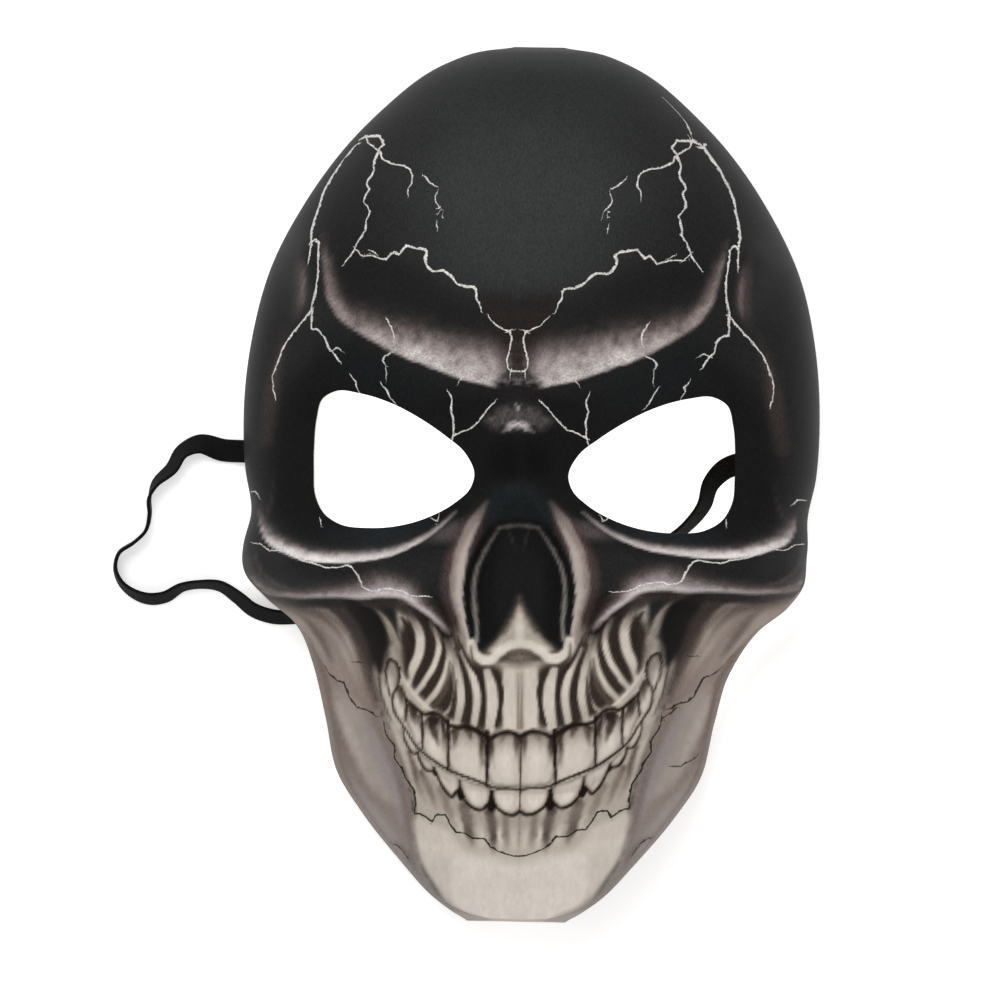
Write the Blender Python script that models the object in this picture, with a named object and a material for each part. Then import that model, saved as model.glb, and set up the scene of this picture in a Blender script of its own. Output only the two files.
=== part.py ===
"""Skull mask for carnival: a moulded foam face shell with two eye openings, lying face up on its rim.

The crown points along +Y and the face along +Z. The origin lies on the surface that the rim stands on,
below the middle of the mask. Lengths are in metres.
"""
import math

import bpy
import numpy as np
from mathutils import Vector
from mathutils.bvhtree import BVHTree

# Driving dimensions of the shell
HEIGHT = 0.250  # chin to crown
HALF_WIDTH = 0.082  # middle to the widest place, at the temples
DEPTH = 0.068  # rim to the middle of the forehead, without the raised forms
WALL = 0.0022
RIM_ARCH = 0.0075  # how far the rim lifts off the surface beside the cheeks
RELIEF = 0.010  # the forms of the face rise and fall by shares of this
RIM_FADE = 0.020  # height over the rim in which the forms die out

# Driving dimensions of the eye openings
EYE_WIDTH = 0.0460
EYE_HEIGHT = 0.0382
EYE_SPREAD = 0.0131  # middle of the mask to the inner corner
EYE_LEVEL = 0.1120  # chin to the lowest point of the opening

# Driving dimensions of the teeth
TOOTH_RISE = 0.0012
TOOTH_GROOVE = 0.0015  # half width of the groove between two teeth
GUM_EDGE = 0.0012  # half width of the step from the gum to a tooth
MOUTH_DEPTH = 0.0012  # depth of the groove where the teeth meet
MOUTH_LEVEL = 0.0386  # chin to the line where the teeth meet, at the middle
UPPER_TOOTH = 0.0157  # length of an upper front tooth
LOWER_TOOTH = 0.0078  # length of a lower front tooth
MOUTH_HALF_WIDTH = 0.038

# Driving dimensions of the elastic and its patches
STRAP_WIDTH = 0.0065
STRAP_THICKNESS = 0.0010
STRAP_LEVEL = 0.1330  # chin to the middle of the patches
STRAP_STATIONS = 78
STRAP_DROP = 0.0035  # straight stretch below a patch
PATCH_LENGTH = 0.0140  # along the rim
PATCH_HEIGHT = 0.0120  # up the wall
PATCH_THICKNESS = 0.0014
PATCH_CORNER = 0.2  # a cut corner's share of the shorter side
PATCH_FOOT = 0.0115  # surface to the patch's lower edge
GAP = 0.0003  # between pieces that touch

SMOOTH_ANGLE = 45.0  # degrees, sharper edges stay hard

# Cross sections from chin to crown. height, half_width and depth are shares of HEIGHT, HALF_WIDTH and
# DEPTH, power is the section's squareness, rim the share of RIM_ARCH, rows the mesh rows up to the next.
SECTION_COLUMNS = ("height", "half_width", "depth", "power", "rim", "rows")
SECTIONS = (
    (0.000, 0.171, 0.000, 2.2, 0.0, 2),
    (0.004, 0.189, 0.200, 2.2, 0.0, 2),
    (0.014, 0.238, 0.420, 2.2, 0.0, 2),
    (0.034, 0.315, 0.600, 2.2, 0.0, 4),
    (0.068, 0.409, 0.740, 2.2, 0.0, 4),
    (0.122, 0.545, 0.850, 2.1, 0.0, 6),
    (0.168, 0.634, 0.910, 2.1, 0.0, 6),
    (0.232, 0.679, 0.950, 2.1, 0.2, 6),
    (0.290, 0.726, 0.970, 2.1, 0.8, 4),
    (0.336, 0.802, 0.975, 2.2, 1.0, 2),
    (0.366, 0.909, 0.980, 2.3, 1.0, 2),
    (0.392, 0.971, 0.985, 2.4, 1.0, 4),
    (0.428, 0.980, 0.985, 2.4, 1.0, 4),
    (0.464, 0.966, 0.985, 2.4, 1.0, 4),
    (0.512, 0.991, 0.990, 2.4, 1.0, 6),
    (0.580, 1.000, 1.000, 2.4, 1.0, 6),
    (0.660, 0.980, 0.990, 2.4, 0.5, 6),
    (0.740, 0.923, 0.950, 2.3, 0.1, 4),
    (0.820, 0.802, 0.880, 2.2, 0.0, 2),
    (0.880, 0.674, 0.790, 2.1, 0.0, 2),
    (0.928, 0.535, 0.670, 2.1, 0.0, 2),
    (0.964, 0.393, 0.520, 2.1, 0.0, 2),
    (0.988, 0.238, 0.320, 2.1, 0.0, 2),
    (1.000, 0.091, 0.000, 2.1, 0.0, 0),
)

# Mesh columns of one half, as shares of the half width. They are closest at the teeth and at the rim.
COLUMNS = (
    0.0, 0.046, 0.093, 0.139, 0.185, 0.235, 0.285, 0.335, 0.385, 0.430, 0.475, 0.520,
    0.560, 0.600, 0.660, 0.730, 0.800, 0.865, 0.920, 0.955, 0.982, 0.995, 1.0,
)

# Rounded forms of the face, one of each pair. x and wide are shares of HALF_WIDTH, y and tall are shares
# of HEIGHT from the chin, tilt is in degrees, lift is a share of RELIEF, and edge 2 is soft, 4 flat-topped.
FORM_COLUMNS = ("x", "y", "wide", "tall", "tilt", "lift", "edge")
FORMS = {
    "muzzle": (0.00, 0.240, 0.50, 0.170, 0.0, 0.55, 4),
    "chin": (0.00, 0.055, 0.30, 0.050, 0.0, 0.30, 2),
    "lip_groove": (0.00, 0.108, 0.26, 0.020, 0.0, -0.16, 2),
    "jaw_plane": (0.60, 0.190, 0.10, 0.110, 8.0, -0.20, 2),
    "cheek_hollow": (0.66, 0.300, 0.16, 0.055, 20.0, -0.70, 2),
    "cheekbone": (0.70, 0.398, 0.26, 0.030, 8.0, 0.45, 2),
    "nose_bridge": (0.00, 0.540, 0.12, 0.065, 0.0, 0.70, 2),
    "nose_root": (0.00, 0.618, 0.12, 0.020, 0.0, -0.25, 2),
    "nose_hollow": (0.00, 0.385, 0.150, 0.075, 0.0, -0.75, 4),
    "nose_sill": (0.00, 0.318, 0.12, 0.016, 0.0, 0.30, 2),
    "temple": (0.84, 0.680, 0.10, 0.090, 0.0, -0.25, 2),
}

# Forms round an eye opening. x and wide are shares of EYE_WIDTH from its middle, outwards, y and tall are
# shares of EYE_HEIGHT, and the other columns are as above.
EYE_FORMS = {
    "socket": (0.03, 0.03, 0.68, 0.68, 4.0, -0.85, 3),
}

# Ridges round an eye opening: lift is a share of RELIEF, half_width a share of HALF_WIDTH, and the points
# run from the inside out, as shares of EYE_WIDTH and EYE_HEIGHT from the middle of the eye opening.
RIDGE_COLUMNS = ("lift", "half_width", "points")
EYE_RIDGES = {
    "brow": (
        0.62, 0.085,
        ((-0.78, 0.72), (-0.50, 0.80), (-0.15, 0.93), (0.20, 1.04), (0.46, 1.22), (0.60, 1.50)),
    ),
    "orbit_rim": (
        0.32, 0.060,
        ((-0.40, -0.42), (-0.05, -0.70), (0.32, -0.77), (0.62, -0.68), (0.78, -0.42)),
    ),
}

# Ridges whose points are shares of HALF_WIDTH and of HEIGHT from the chin
FACE_RIDGES = {
    "nose_rim": (0.24, 0.045, ((0.050, 0.485), (0.150, 0.440), (0.200, 0.375), (0.165, 0.325))),
}

# Edges between the upper teeth, as shares of MOUTH_HALF_WIDTH from the middle
TOOTH_EDGES = (0.0, 0.263, 0.550, 0.740, 0.855)
# How the mouth rises to its corners: each line adds its rise, a share of HEIGHT, times the share of the
# mouth's half width to its power.
MOUTH_COLUMNS = ("rise", "power")
MOUTH_RISES = {"meeting": (0.088, 3.2), "upper_gum": (0.056, 4.0), "lower_gum": (0.100, 3.0)}

# One eye opening, anticlockwise from the inner corner: shares of EYE_WIDTH and EYE_HEIGHT
EYE_OUTLINE = (
    (0.000, 0.400), (0.025, 0.300), (0.110, 0.200), (0.280, 0.085), (0.460, 0.020), (0.650, 0.000),
    (0.830, 0.025), (0.930, 0.100), (0.985, 0.220), (1.000, 0.420), (1.000, 0.600), (0.985, 0.800),
    (0.950, 0.940), (0.860, 1.000), (0.720, 0.985), (0.530, 0.920), (0.330, 0.800), (0.180, 0.680),
    (0.060, 0.560),
)
EYE_STATIONS = 46

# The elastic's route between its wall stretches. x and y are from the middle of the mask, rise is the
# height of its lower side, heading is the run's direction seen from above, and roll 0 lies flat while
# 90 stands on edge.
ROUTE_COLUMNS = ("x", "y", "rise", "heading", "roll")
ROUTE = (
    (-0.0795, 0.0081, 0.0030, 180, 0),
    (-0.0835, 0.0081, 0.0010, 180, 0),
    (-0.0884, 0.0083, 0.0000, 180, 2),
    (-0.0956, 0.0099, 0.0000, 190, 35),
    (-0.1004, 0.0075, 0.0000, 235, 50),
    (-0.1029, 0.0032, 0.0000, 232, 55),
    (-0.1080, -0.0020, 0.0000, 235, 72),
    (-0.1094, -0.0060, 0.0000, 268, 88),
    (-0.1092, -0.0105, 0.0000, 270, 88),
    (-0.1103, -0.0152, 0.0000, 248, 86),
    (-0.1134, -0.0184, 0.0000, 218, 86),
    (-0.1179, -0.0218, 0.0000, 232, 84),
    (-0.1188, -0.0258, 0.0000, 278, 82),
    (-0.1172, -0.0300, 0.0000, 300, 76),
    (-0.1137, -0.0330, 0.0000, 330, 68),
    (-0.1085, -0.0346, 0.0000, 358, 62),
    (-0.1045, -0.0340, 0.0000, 28, 64),
    (-0.0995, -0.0311, 0.0000, 20, 72),
    (-0.0944, -0.0302, 0.0000, 0, 72),
    (-0.0886, -0.0306, 0.0000, 345, 64),
    (-0.0837, -0.0336, 0.0000, 322, 56),
    (-0.0790, -0.0372, 0.0000, 334, 52),
    (-0.0740, -0.0389, 0.0000, 352, 52),
    (-0.0660, -0.0391, 0.0000, 2, 58),
    (-0.0480, -0.0375, 0.0000, 8, 70),
    (-0.0200, -0.0325, 0.0000, 12, 80),
    (0.0100, -0.0255, 0.0000, 14, 82),
    (0.0330, -0.0185, 0.0000, 22, 76),
    (0.0445, -0.0113, 0.0000, 44, 66),
    (0.0494, -0.0050, 0.0000, 66, 56),
    (0.0512, 0.0010, 0.0004, 52, 44),
    (0.0550, 0.0052, 0.0012, 24, 26),
    (0.0620, 0.0075, 0.0030, 6, 8),
    (0.0700, 0.0081, 0.0055, 0, 0),
)


def named(columns, table):
    """A table's rows as dictionaries under its columns' names."""
    rows = table.values() if isinstance(table, dict) else table
    return [dict(zip(columns, row)) for row in rows]


def smoothstep(low, high, value):
    """0 below low, 1 above high, and a smooth rise between them."""
    share = np.clip((value - low) / (high - low), 0.0, 1.0)
    return share * share * (3.0 - 2.0 * share)


def curve_through(points, stations, closed=False, lengths=None):
    """Points of a smooth curve through the given ones, at stations counted from 0 to the last of them."""
    points = np.asarray(points, dtype=float)
    if closed:
        points = np.vstack([points[-1:], points, points[:2]])
    reach = points if lengths is None else points * np.asarray(lengths)
    knots = np.concatenate([[0.0], np.cumsum(np.linalg.norm(np.diff(reach, axis=0), axis=1))])
    slopes = np.gradient(points, knots, axis=0)
    place = np.asarray(stations, dtype=float) + (1.0 if closed else 0.0)
    index = np.clip(place.astype(int), 0, len(points) - 2)
    share = (place - index)[:, None]
    step = (knots[index + 1] - knots[index])[:, None]
    rest = 1.0 - share
    return (
        points[index] * (1.0 + 2.0 * share) * rest ** 2
        + points[index + 1] * (3.0 - 2.0 * share) * share ** 2
        + slopes[index] * step * share * rest ** 2
        - slopes[index + 1] * step * rest * share ** 2
    )


def distance_to_line(x, y, points):
    """Distance from each place to the nearest of a line's straight runs."""
    nearest = np.full(x.shape, np.inf)
    for (ax, ay), (bx, by) in zip(points[:-1], points[1:]):
        run_x, run_y = bx - ax, by - ay
        share = ((x - ax) * run_x + (y - ay) * run_y) / (run_x ** 2 + run_y ** 2)
        share = np.clip(share, 0.0, 1.0)
        nearest = np.minimum(nearest, np.hypot(x - ax - share * run_x, y - ay - share * run_y))
    return nearest


def swelling(x, y, form, middle, unit):
    """1 in the middle of a tilted ellipse, falling off round it, the steeper the higher its edge is."""
    turn = math.radians(form["tilt"])
    out = x - middle[0] - form["x"] * unit[0]
    up = y - middle[1] - form["y"] * unit[1]
    along = (out * math.cos(turn) + up * math.sin(turn)) / (form["wide"] * unit[0])
    across = (up * math.cos(turn) - out * math.sin(turn)) / (form["tall"] * unit[1])
    return np.exp(-np.hypot(along, across) ** form["edge"])


def swellings(x, y, forms, middle, unit):
    """The lifts of a table of forms, each on both sides, or once where it lies on the middle line."""
    lift = np.zeros_like(x)
    for form in named(FORM_COLUMNS, forms):
        shape = swelling(x, y, form, middle, unit)
        if middle[0] + form["x"] * unit[0] > 0.0:
            shape = shape + swelling(-x, y, form, middle, unit)
        lift += form["lift"] * RELIEF * shape
    return lift


def raised_lines(x, y, ridges, middle, unit):
    """The lifts of a table of ridges on both sides: a round hump along each line."""
    lift = np.zeros_like(x)
    for ridge in named(RIDGE_COLUMNS, ridges):
        line = [(middle[0] + out * unit[0], middle[1] + up * unit[1]) for out, up in ridge["points"]]
        away = distance_to_line(np.abs(x), y, line) / (ridge["half_width"] * HALF_WIDTH)
        lift += ridge["lift"] * RELIEF * np.exp(-away ** 2)
    return lift


def mouth_line(x, name, base):
    """Height over the chin of one line of the mouth, which rises from its base to the mouth's corners."""
    rise, power = MOUTH_RISES[name]
    return base + rise * HEIGHT * np.minimum(np.abs(x) / MOUTH_HALF_WIDTH, 1.2) ** power


def teeth(x, y):
    """Two rows of raised teeth with grooves between them, along a mouth that rises to its corners."""
    upper_gum = mouth_line(x, "upper_gum", MOUTH_LEVEL + UPPER_TOOTH)
    meeting = mouth_line(x, "meeting", MOUTH_LEVEL)
    lower_gum = mouth_line(x, "lower_gum", MOUTH_LEVEL - LOWER_TOOTH)
    in_row = smoothstep(lower_gum - GUM_EDGE, lower_gum + GUM_EDGE, y)
    in_row *= 1.0 - smoothstep(upper_gum - GUM_EDGE, upper_gum + GUM_EDGE, y)
    in_row *= 1.0 - smoothstep(0.92, 1.04, np.abs(x) / MOUTH_HALF_WIDTH)
    grooves = np.zeros_like(x)
    for edge in TOOTH_EDGES:
        grooves = np.maximum(grooves, np.exp(-((np.abs(x) - edge * MOUTH_HALF_WIDTH) / TOOTH_GROOVE) ** 2))
    mouth = np.exp(-((y - meeting) / TOOTH_GROOVE) ** 2)
    return in_row * (TOOTH_RISE * (1.0 - grooves) - MOUTH_DEPTH * mouth)


def face_forms(x, y):
    """How far the face rises over the plain dome: y is the height over the chin."""
    face = (0.0, 0.0), (HALF_WIDTH, HEIGHT)
    eye = (EYE_SPREAD + 0.5 * EYE_WIDTH, EYE_LEVEL + 0.5 * EYE_HEIGHT), (EYE_WIDTH, EYE_HEIGHT)
    lift = swellings(x, y, FORMS, *face) + swellings(x, y, EYE_FORMS, *eye)
    return lift + raised_lines(x, y, FACE_RIDGES, *face) + raised_lines(x, y, EYE_RIDGES, *eye)


def section_rows():
    """The sections' columns at every mesh row, as one array for each column."""
    steps = [section["rows"] for section in named(SECTION_COLUMNS, SECTIONS)]
    stations = [index + step / count for index, count in enumerate(steps) for step in range(count)]
    stations.append(len(SECTIONS) - 1)
    shapes = [section[:-1] for section in SECTIONS]
    return curve_through(shapes, stations, lengths=(HEIGHT, HALF_WIDTH, DEPTH, 0.0, 0.0)).T


def shell_grid(with_teeth):
    """Outer surface on a grid of rows from chin to crown and columns from left to right.

    A row is half of a rounded arch: x is a share of its half width, and z falls to the rim as
    (1 - |share| ^ power) ^ (1 / power). The face's forms are added to z and die out over the rim.
    """
    height, half_width, depth, power, rim = (column[:, None] for column in section_rows())
    half = np.asarray(COLUMNS)
    share = np.concatenate([-half[:0:-1], half])[None, :]
    rim_z = np.clip(rim, 0.0, 1.0) * RIM_ARCH
    x = half_width * HALF_WIDTH * share
    y = height * HEIGHT + 0.0 * share
    arch = (1.0 - np.abs(share) ** power) ** (1.0 / power)
    top = np.maximum(depth * DEPTH, 0.0)
    z = rim_z + np.maximum(top - rim_z, 0.0) * arch
    lift = face_forms(x, y)
    if with_teeth:
        lift = lift + teeth(x, y)
    z = z + lift * smoothstep(0.0, RIM_FADE, z - rim_z)
    return np.stack([x, y - 0.5 * HEIGHT, z], axis=-1)


def grid_normals(grid):
    """Unit normals of a grid of points. Along its border they are level, so that the rim stays flat."""
    normals = np.cross(np.gradient(grid, axis=1), np.gradient(grid, axis=0))
    rows, columns = np.array(border_loop(*grid.shape[:2])).T
    border = grid[rows, columns]
    run = np.roll(border, -1, axis=0) - np.roll(border, 1, axis=0)
    normals[rows, columns] = np.stack([run[:, 1], -run[:, 0], 0.0 * run[:, 0]], axis=-1)
    return normals / np.linalg.norm(normals, axis=-1, keepdims=True)


def border_loop(rows, columns):
    """Places on a grid's border, once round from its first corner."""
    loop = [(0, column) for column in range(columns - 1)]
    loop += [(row, columns - 1) for row in range(rows - 1)]
    loop += [(rows - 1, column) for column in range(columns - 1, 0, -1)]
    loop += [(row, 0) for row in range(rows - 1, 0, -1)]
    return loop


def grid_faces(rows, columns, first, outwards):
    """Four-sided faces of a grid whose points start at a given number, turned outwards or inwards."""
    faces = []
    for row in range(rows - 1):
        for column in range(columns - 1):
            corner = first + row * columns + column
            face = (corner, corner + 1, corner + columns + 1, corner + columns)
            faces.append(face if outwards else face[::-1])
    return faces


def shell_mesh():
    """Outer grid, inner grid of half as many rows and columns one wall inside it, and the rim between."""
    outer = shell_grid(with_teeth=True)
    plain = shell_grid(with_teeth=False)[::2, ::2]
    inner = plain - WALL * grid_normals(plain)
    outer_size, inner_size = outer.shape[:2], inner.shape[:2]
    first_inner = outer_size[0] * outer_size[1]
    verts = np.concatenate([outer.reshape(-1, 3), inner.reshape(-1, 3)])
    faces = grid_faces(*outer_size, 0, True) + grid_faces(*inner_size, first_inner, False)
    outside = [row * outer_size[1] + column for row, column in border_loop(*outer_size)]
    inside = [first_inner + row * inner_size[1] + column for row, column in border_loop(*inner_size)]
    for index, here in enumerate(inside):
        after = inside[(index + 1) % len(inside)]
        start, middle, end = (outside[(2 * index + step) % len(outside)] for step in range(3))
        faces += [(middle, start, here), (middle, here, after), (end, middle, after)]
    return verts, faces


def eye_outline(side):
    """Outline of the opening on one side (1 right, -1 left), anticlockwise seen from the front."""
    stations = np.arange(EYE_STATIONS) * len(EYE_OUTLINE) / EYE_STATIONS
    shares = curve_through(EYE_OUTLINE, stations, closed=True, lengths=(EYE_WIDTH, EYE_HEIGHT))
    x = side * (EYE_SPREAD + shares[:, 0] * EYE_WIDTH)
    y = EYE_LEVEL + shares[:, 1] * EYE_HEIGHT - 0.5 * HEIGHT
    outline = np.stack([x, y], axis=-1)
    return outline if side > 0 else outline[::-1]


def prism_mesh(outline, low, high):
    """A straight prism on an anticlockwise outline, from one height to another."""
    count = len(outline)
    verts = [(x, y, low) for x, y in outline] + [(x, y, high) for x, y in outline]
    faces = [tuple(reversed(range(count))), tuple(range(count, 2 * count))]
    for index in range(count):
        after = (index + 1) % count
        faces.append((index, after, after + count, index + count))
    return verts, faces


def plate_mesh(centre, normal, along, up, length, height, thickness):
    """A flat plate with its corners cut off, seated with its back at the centre point."""
    cut = PATCH_CORNER * min(length, height)
    half_length, half_height = 0.5 * length, 0.5 * height
    corners = (
        (-half_length + cut, -half_height), (half_length - cut, -half_height),
        (half_length, -half_height + cut), (half_length, half_height - cut),
        (half_length - cut, half_height), (-half_length + cut, half_height),
        (-half_length, half_height - cut), (-half_length, -half_height + cut),
    )
    verts = [centre + along * a + up * b for a, b in corners]
    verts += [vert - normal * thickness for vert in verts]
    count = len(corners)
    faces = [tuple(range(count)), tuple(reversed(range(count, 2 * count)))]
    for index in range(count):
        after = (index + 1) % count
        faces.append((index, index + count, after + count, after))
    return verts, faces


def patch_seat(wall, side):
    """Where a patch lies on the inside of one side wall: its back's middle, and its three directions."""
    outwards = Vector((side, 0.0, 0.0))
    level = STRAP_LEVEL - 0.5 * HEIGHT
    foot = Vector((0.0, level, PATCH_FOOT))
    head = Vector((0.0, level, PATCH_FOOT + PATCH_HEIGHT))
    foot_hit = wall.ray_cast(foot, outwards)[0]
    head_hit = wall.ray_cast(head, outwards)[0]
    up = (head_hit - foot_hit).normalized()
    along = Vector((0.0, side, 0.0))
    normal = along.cross(up).normalized()
    centre = 0.5 * (foot_hit + head_hit) - normal * (PATCH_LENGTH + WALL)
    places = [
        centre + along * a * PATCH_LENGTH + up * b * PATCH_HEIGHT
        for a in (-0.5, 0.0, 0.5)
        for b in (-0.5, 0.0, 0.5)
    ]
    room = min(wall.ray_cast(place, normal)[3] for place in places)
    return centre + normal * (room - GAP), normal, along, up


def wall_stretch(seat, heading, drops):
    """Route rows below one patch, each a drop under its lower edge."""
    centre, normal, _, up = seat
    rows = []
    for drop in drops:
        point = centre - normal * 0.5 * PATCH_THICKNESS - up * (0.5 * PATCH_HEIGHT + GAP + drop)
        rows.append((point.x, point.y, point.z - 0.5 * STRAP_THICKNESS, heading, 0.0))
    return rows


def strap_stations(left_seat, right_seat):
    """The elastic's middle line and the direction of its width, from the left patch to the right one."""
    table = wall_stretch(left_seat, 180.0, (0.0, STRAP_DROP)) + list(ROUTE)
    table += wall_stretch(right_seat, 0.0, (STRAP_DROP, 0.0))
    table = np.array(table, dtype=float)
    table[:, 3] = np.unwrap(table[:, 3], period=360.0)
    stations = np.linspace(0.0, len(table) - 1, STRAP_STATIONS)
    x, y, rise, heading, roll = curve_through(table, stations, lengths=(1.0, 1.0, 1.0, 0.0, 0.0)).T
    heading, roll = np.radians(heading), np.radians(np.clip(roll, 0.0, 90.0))
    lift = 0.5 * (STRAP_WIDTH * np.sin(roll) + STRAP_THICKNESS * np.cos(roll))
    centres = np.stack([x, y, np.maximum(rise, 0.0) + lift], axis=-1)
    level = np.cos(roll)
    across = np.stack([-np.sin(heading) * level, np.cos(heading) * level, np.sin(roll)], axis=-1)
    return centres, across


def band_mesh(centres, across, width, thickness):
    """A flat band: a rectangle carried along a line, as wide as the given directions say."""
    ahead = np.gradient(centres, axis=0)
    ahead /= np.linalg.norm(ahead, axis=1, keepdims=True)
    across = across - ahead * np.sum(across * ahead, axis=1, keepdims=True)
    across /= np.linalg.norm(across, axis=1, keepdims=True)
    through = np.cross(ahead, across)
    corners = [
        centres + a * 0.5 * width * across + b * 0.5 * thickness * through
        for a, b in ((-1, -1), (1, -1), (1, 1), (-1, 1))
    ]
    verts = np.stack(corners, axis=1).reshape(-1, 3)
    verts[:, 2] = np.maximum(verts[:, 2], 0.0)
    faces = [(3, 2, 1, 0)]
    for start in range(0, len(verts) - 4, 4):
        for corner in range(4):
            after = (corner + 1) % 4
            faces.append((start + corner, start + after, start + 4 + after, start + 4 + corner))
    last = len(verts) - 4
    faces.append((last, last + 1, last + 2, last + 3))
    return verts, faces


def plain_material(name, colour, roughness):
    """A non-metallic material of one colour."""
    material = bpy.data.materials.new(name)
    material.use_nodes = True
    shader = material.node_tree.nodes["Principled BSDF"]
    shader.inputs["Base Color"].default_value = (*colour, 1.0)
    shader.inputs["Roughness"].default_value = roughness
    shader.inputs["Metallic"].default_value = 0.0
    return material


def add_object(name, verts, faces, material, smooth_angle=None):
    """A named mesh object, shaded smooth up to the given angle."""
    mesh = bpy.data.meshes.new(name)
    mesh.from_pydata([tuple(vert) for vert in verts], [], faces)
    mesh.update()
    if smooth_angle is not None:
        mesh.shade_smooth()
        mesh.set_sharp_from_angle(angle=math.radians(smooth_angle))
    mesh.materials.append(material)
    part = bpy.data.objects.new(name, mesh)
    bpy.context.scene.collection.objects.link(part)
    return part


def add_shell():
    """The foam shell with its eye openings cut through. Gives its whole surface, to seat pieces on."""
    verts, faces = shell_mesh()
    knit = plain_material("printed_knit_on_foam", (0.09, 0.085, 0.08), 0.75)
    guide = plain_material("guide", (0.8, 0.8, 0.8), 0.5)
    shell = add_object("mask_shell", verts, faces, knit, SMOOTH_ANGLE)
    for side, label in ((-1, "left"), (1, "right")):
        cutter_verts, cutter_faces = prism_mesh(eye_outline(side), -0.5 * DEPTH, 2.0 * DEPTH)
        cutter = add_object(f"eye_cutter_{label}", cutter_verts, cutter_faces, guide)
        cutter.hide_render = True
        cutter.display_type = "WIRE"
        cut = shell.modifiers.new(f"eye_{label}", "BOOLEAN")
        cut.operation = "DIFFERENCE"
        cut.solver = "EXACT"
        cut.object = cutter
    return BVHTree.FromPolygons([Vector(vert) for vert in verts], faces)


def build():
    """Clears the scene and makes the mask's pieces."""
    for item in list(bpy.data.objects):
        bpy.data.objects.remove(item, do_unlink=True)
    wall = add_shell()
    black_cloth = plain_material("woven_elastic", (0.012, 0.012, 0.012), 0.85)
    seats = {"left": patch_seat(wall, -1), "right": patch_seat(wall, 1)}
    for label, (centre, normal, along, up) in seats.items():
        verts, faces = plate_mesh(centre, normal, along, up, PATCH_LENGTH, PATCH_HEIGHT, PATCH_THICKNESS)
        add_object(f"strap_patch_{label}", verts, faces, black_cloth)
    centres, across = strap_stations(seats["left"], seats["right"])
    verts, faces = band_mesh(centres, across, STRAP_WIDTH, STRAP_THICKNESS)
    add_object("elastic_strap", verts, faces, black_cloth, SMOOTH_ANGLE)


build()
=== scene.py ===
"""Skull mask, dressed: moulded foam with a printed knit face, face up with its elastic on a pale floor."""

import math

import bpy
import numpy as np
from mathutils import Matrix, Vector


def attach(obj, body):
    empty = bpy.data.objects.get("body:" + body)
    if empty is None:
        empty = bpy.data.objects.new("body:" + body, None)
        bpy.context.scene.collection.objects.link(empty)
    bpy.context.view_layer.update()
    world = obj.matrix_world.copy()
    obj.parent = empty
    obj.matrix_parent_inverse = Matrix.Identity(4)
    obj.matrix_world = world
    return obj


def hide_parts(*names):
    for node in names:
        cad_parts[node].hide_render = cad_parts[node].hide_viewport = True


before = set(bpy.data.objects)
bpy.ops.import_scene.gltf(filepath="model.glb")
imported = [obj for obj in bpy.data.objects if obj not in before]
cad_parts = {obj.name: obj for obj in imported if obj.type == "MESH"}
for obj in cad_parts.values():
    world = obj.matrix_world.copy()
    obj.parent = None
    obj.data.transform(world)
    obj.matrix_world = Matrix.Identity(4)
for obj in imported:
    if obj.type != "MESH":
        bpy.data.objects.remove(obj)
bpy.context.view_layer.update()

# Sizes of the CAD model, in metres, whose surfaces the dressed pieces repeat
HEIGHT = 0.250
HALF_WIDTH = 0.082
DEPTH = 0.068
WALL = 0.0022
RIM_ARCH = 0.0075
RELIEF = 0.010
RIM_FADE = 0.020
EYE_WIDTH = 0.0460
EYE_HEIGHT = 0.0382
EYE_SPREAD = 0.0131
EYE_LEVEL = 0.1120
TOOTH_RISE = 0.0012
TOOTH_GROOVE = 0.0015
GUM_EDGE = 0.0012
MOUTH_DEPTH = 0.0012
MOUTH_LEVEL = 0.0386
UPPER_TOOTH = 0.0157
LOWER_TOOTH = 0.0078
MOUTH_HALF_WIDTH = 0.038
STRAP_WIDTH = 0.0065
STRAP_THICKNESS = 0.0010

# The soft shell's small twist as it lies, in metres: from where to where up the face the jaw turns, its
# shift in x at the rim and how much that changes up to the height of its front, and the middle, half
# height, shift and reach in z of the same beside the cheekbones
JAW_TURN = (-0.058, -0.034)
JAW_SHIFT = (-0.0024, 0.0038, 0.066)
CHEEK_SHIFT = (-0.0225, 0.009, 0.0020, 0.040)

# Points on the fine curves, and the arch that stands for every section where the columns are spaced
FINE_STATIONS = 12001
FINE_SHARES = 4001
CREST_STATIONS = 400
MIDDLING_POWER = 2.3
MIDDLING_DEPTH = 0.55
EYE_POINTS = 132
STRAP_RINGS = 520
BAND_FLAT_POINTS = 9
BAND_BEND_POINTS = 7

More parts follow.
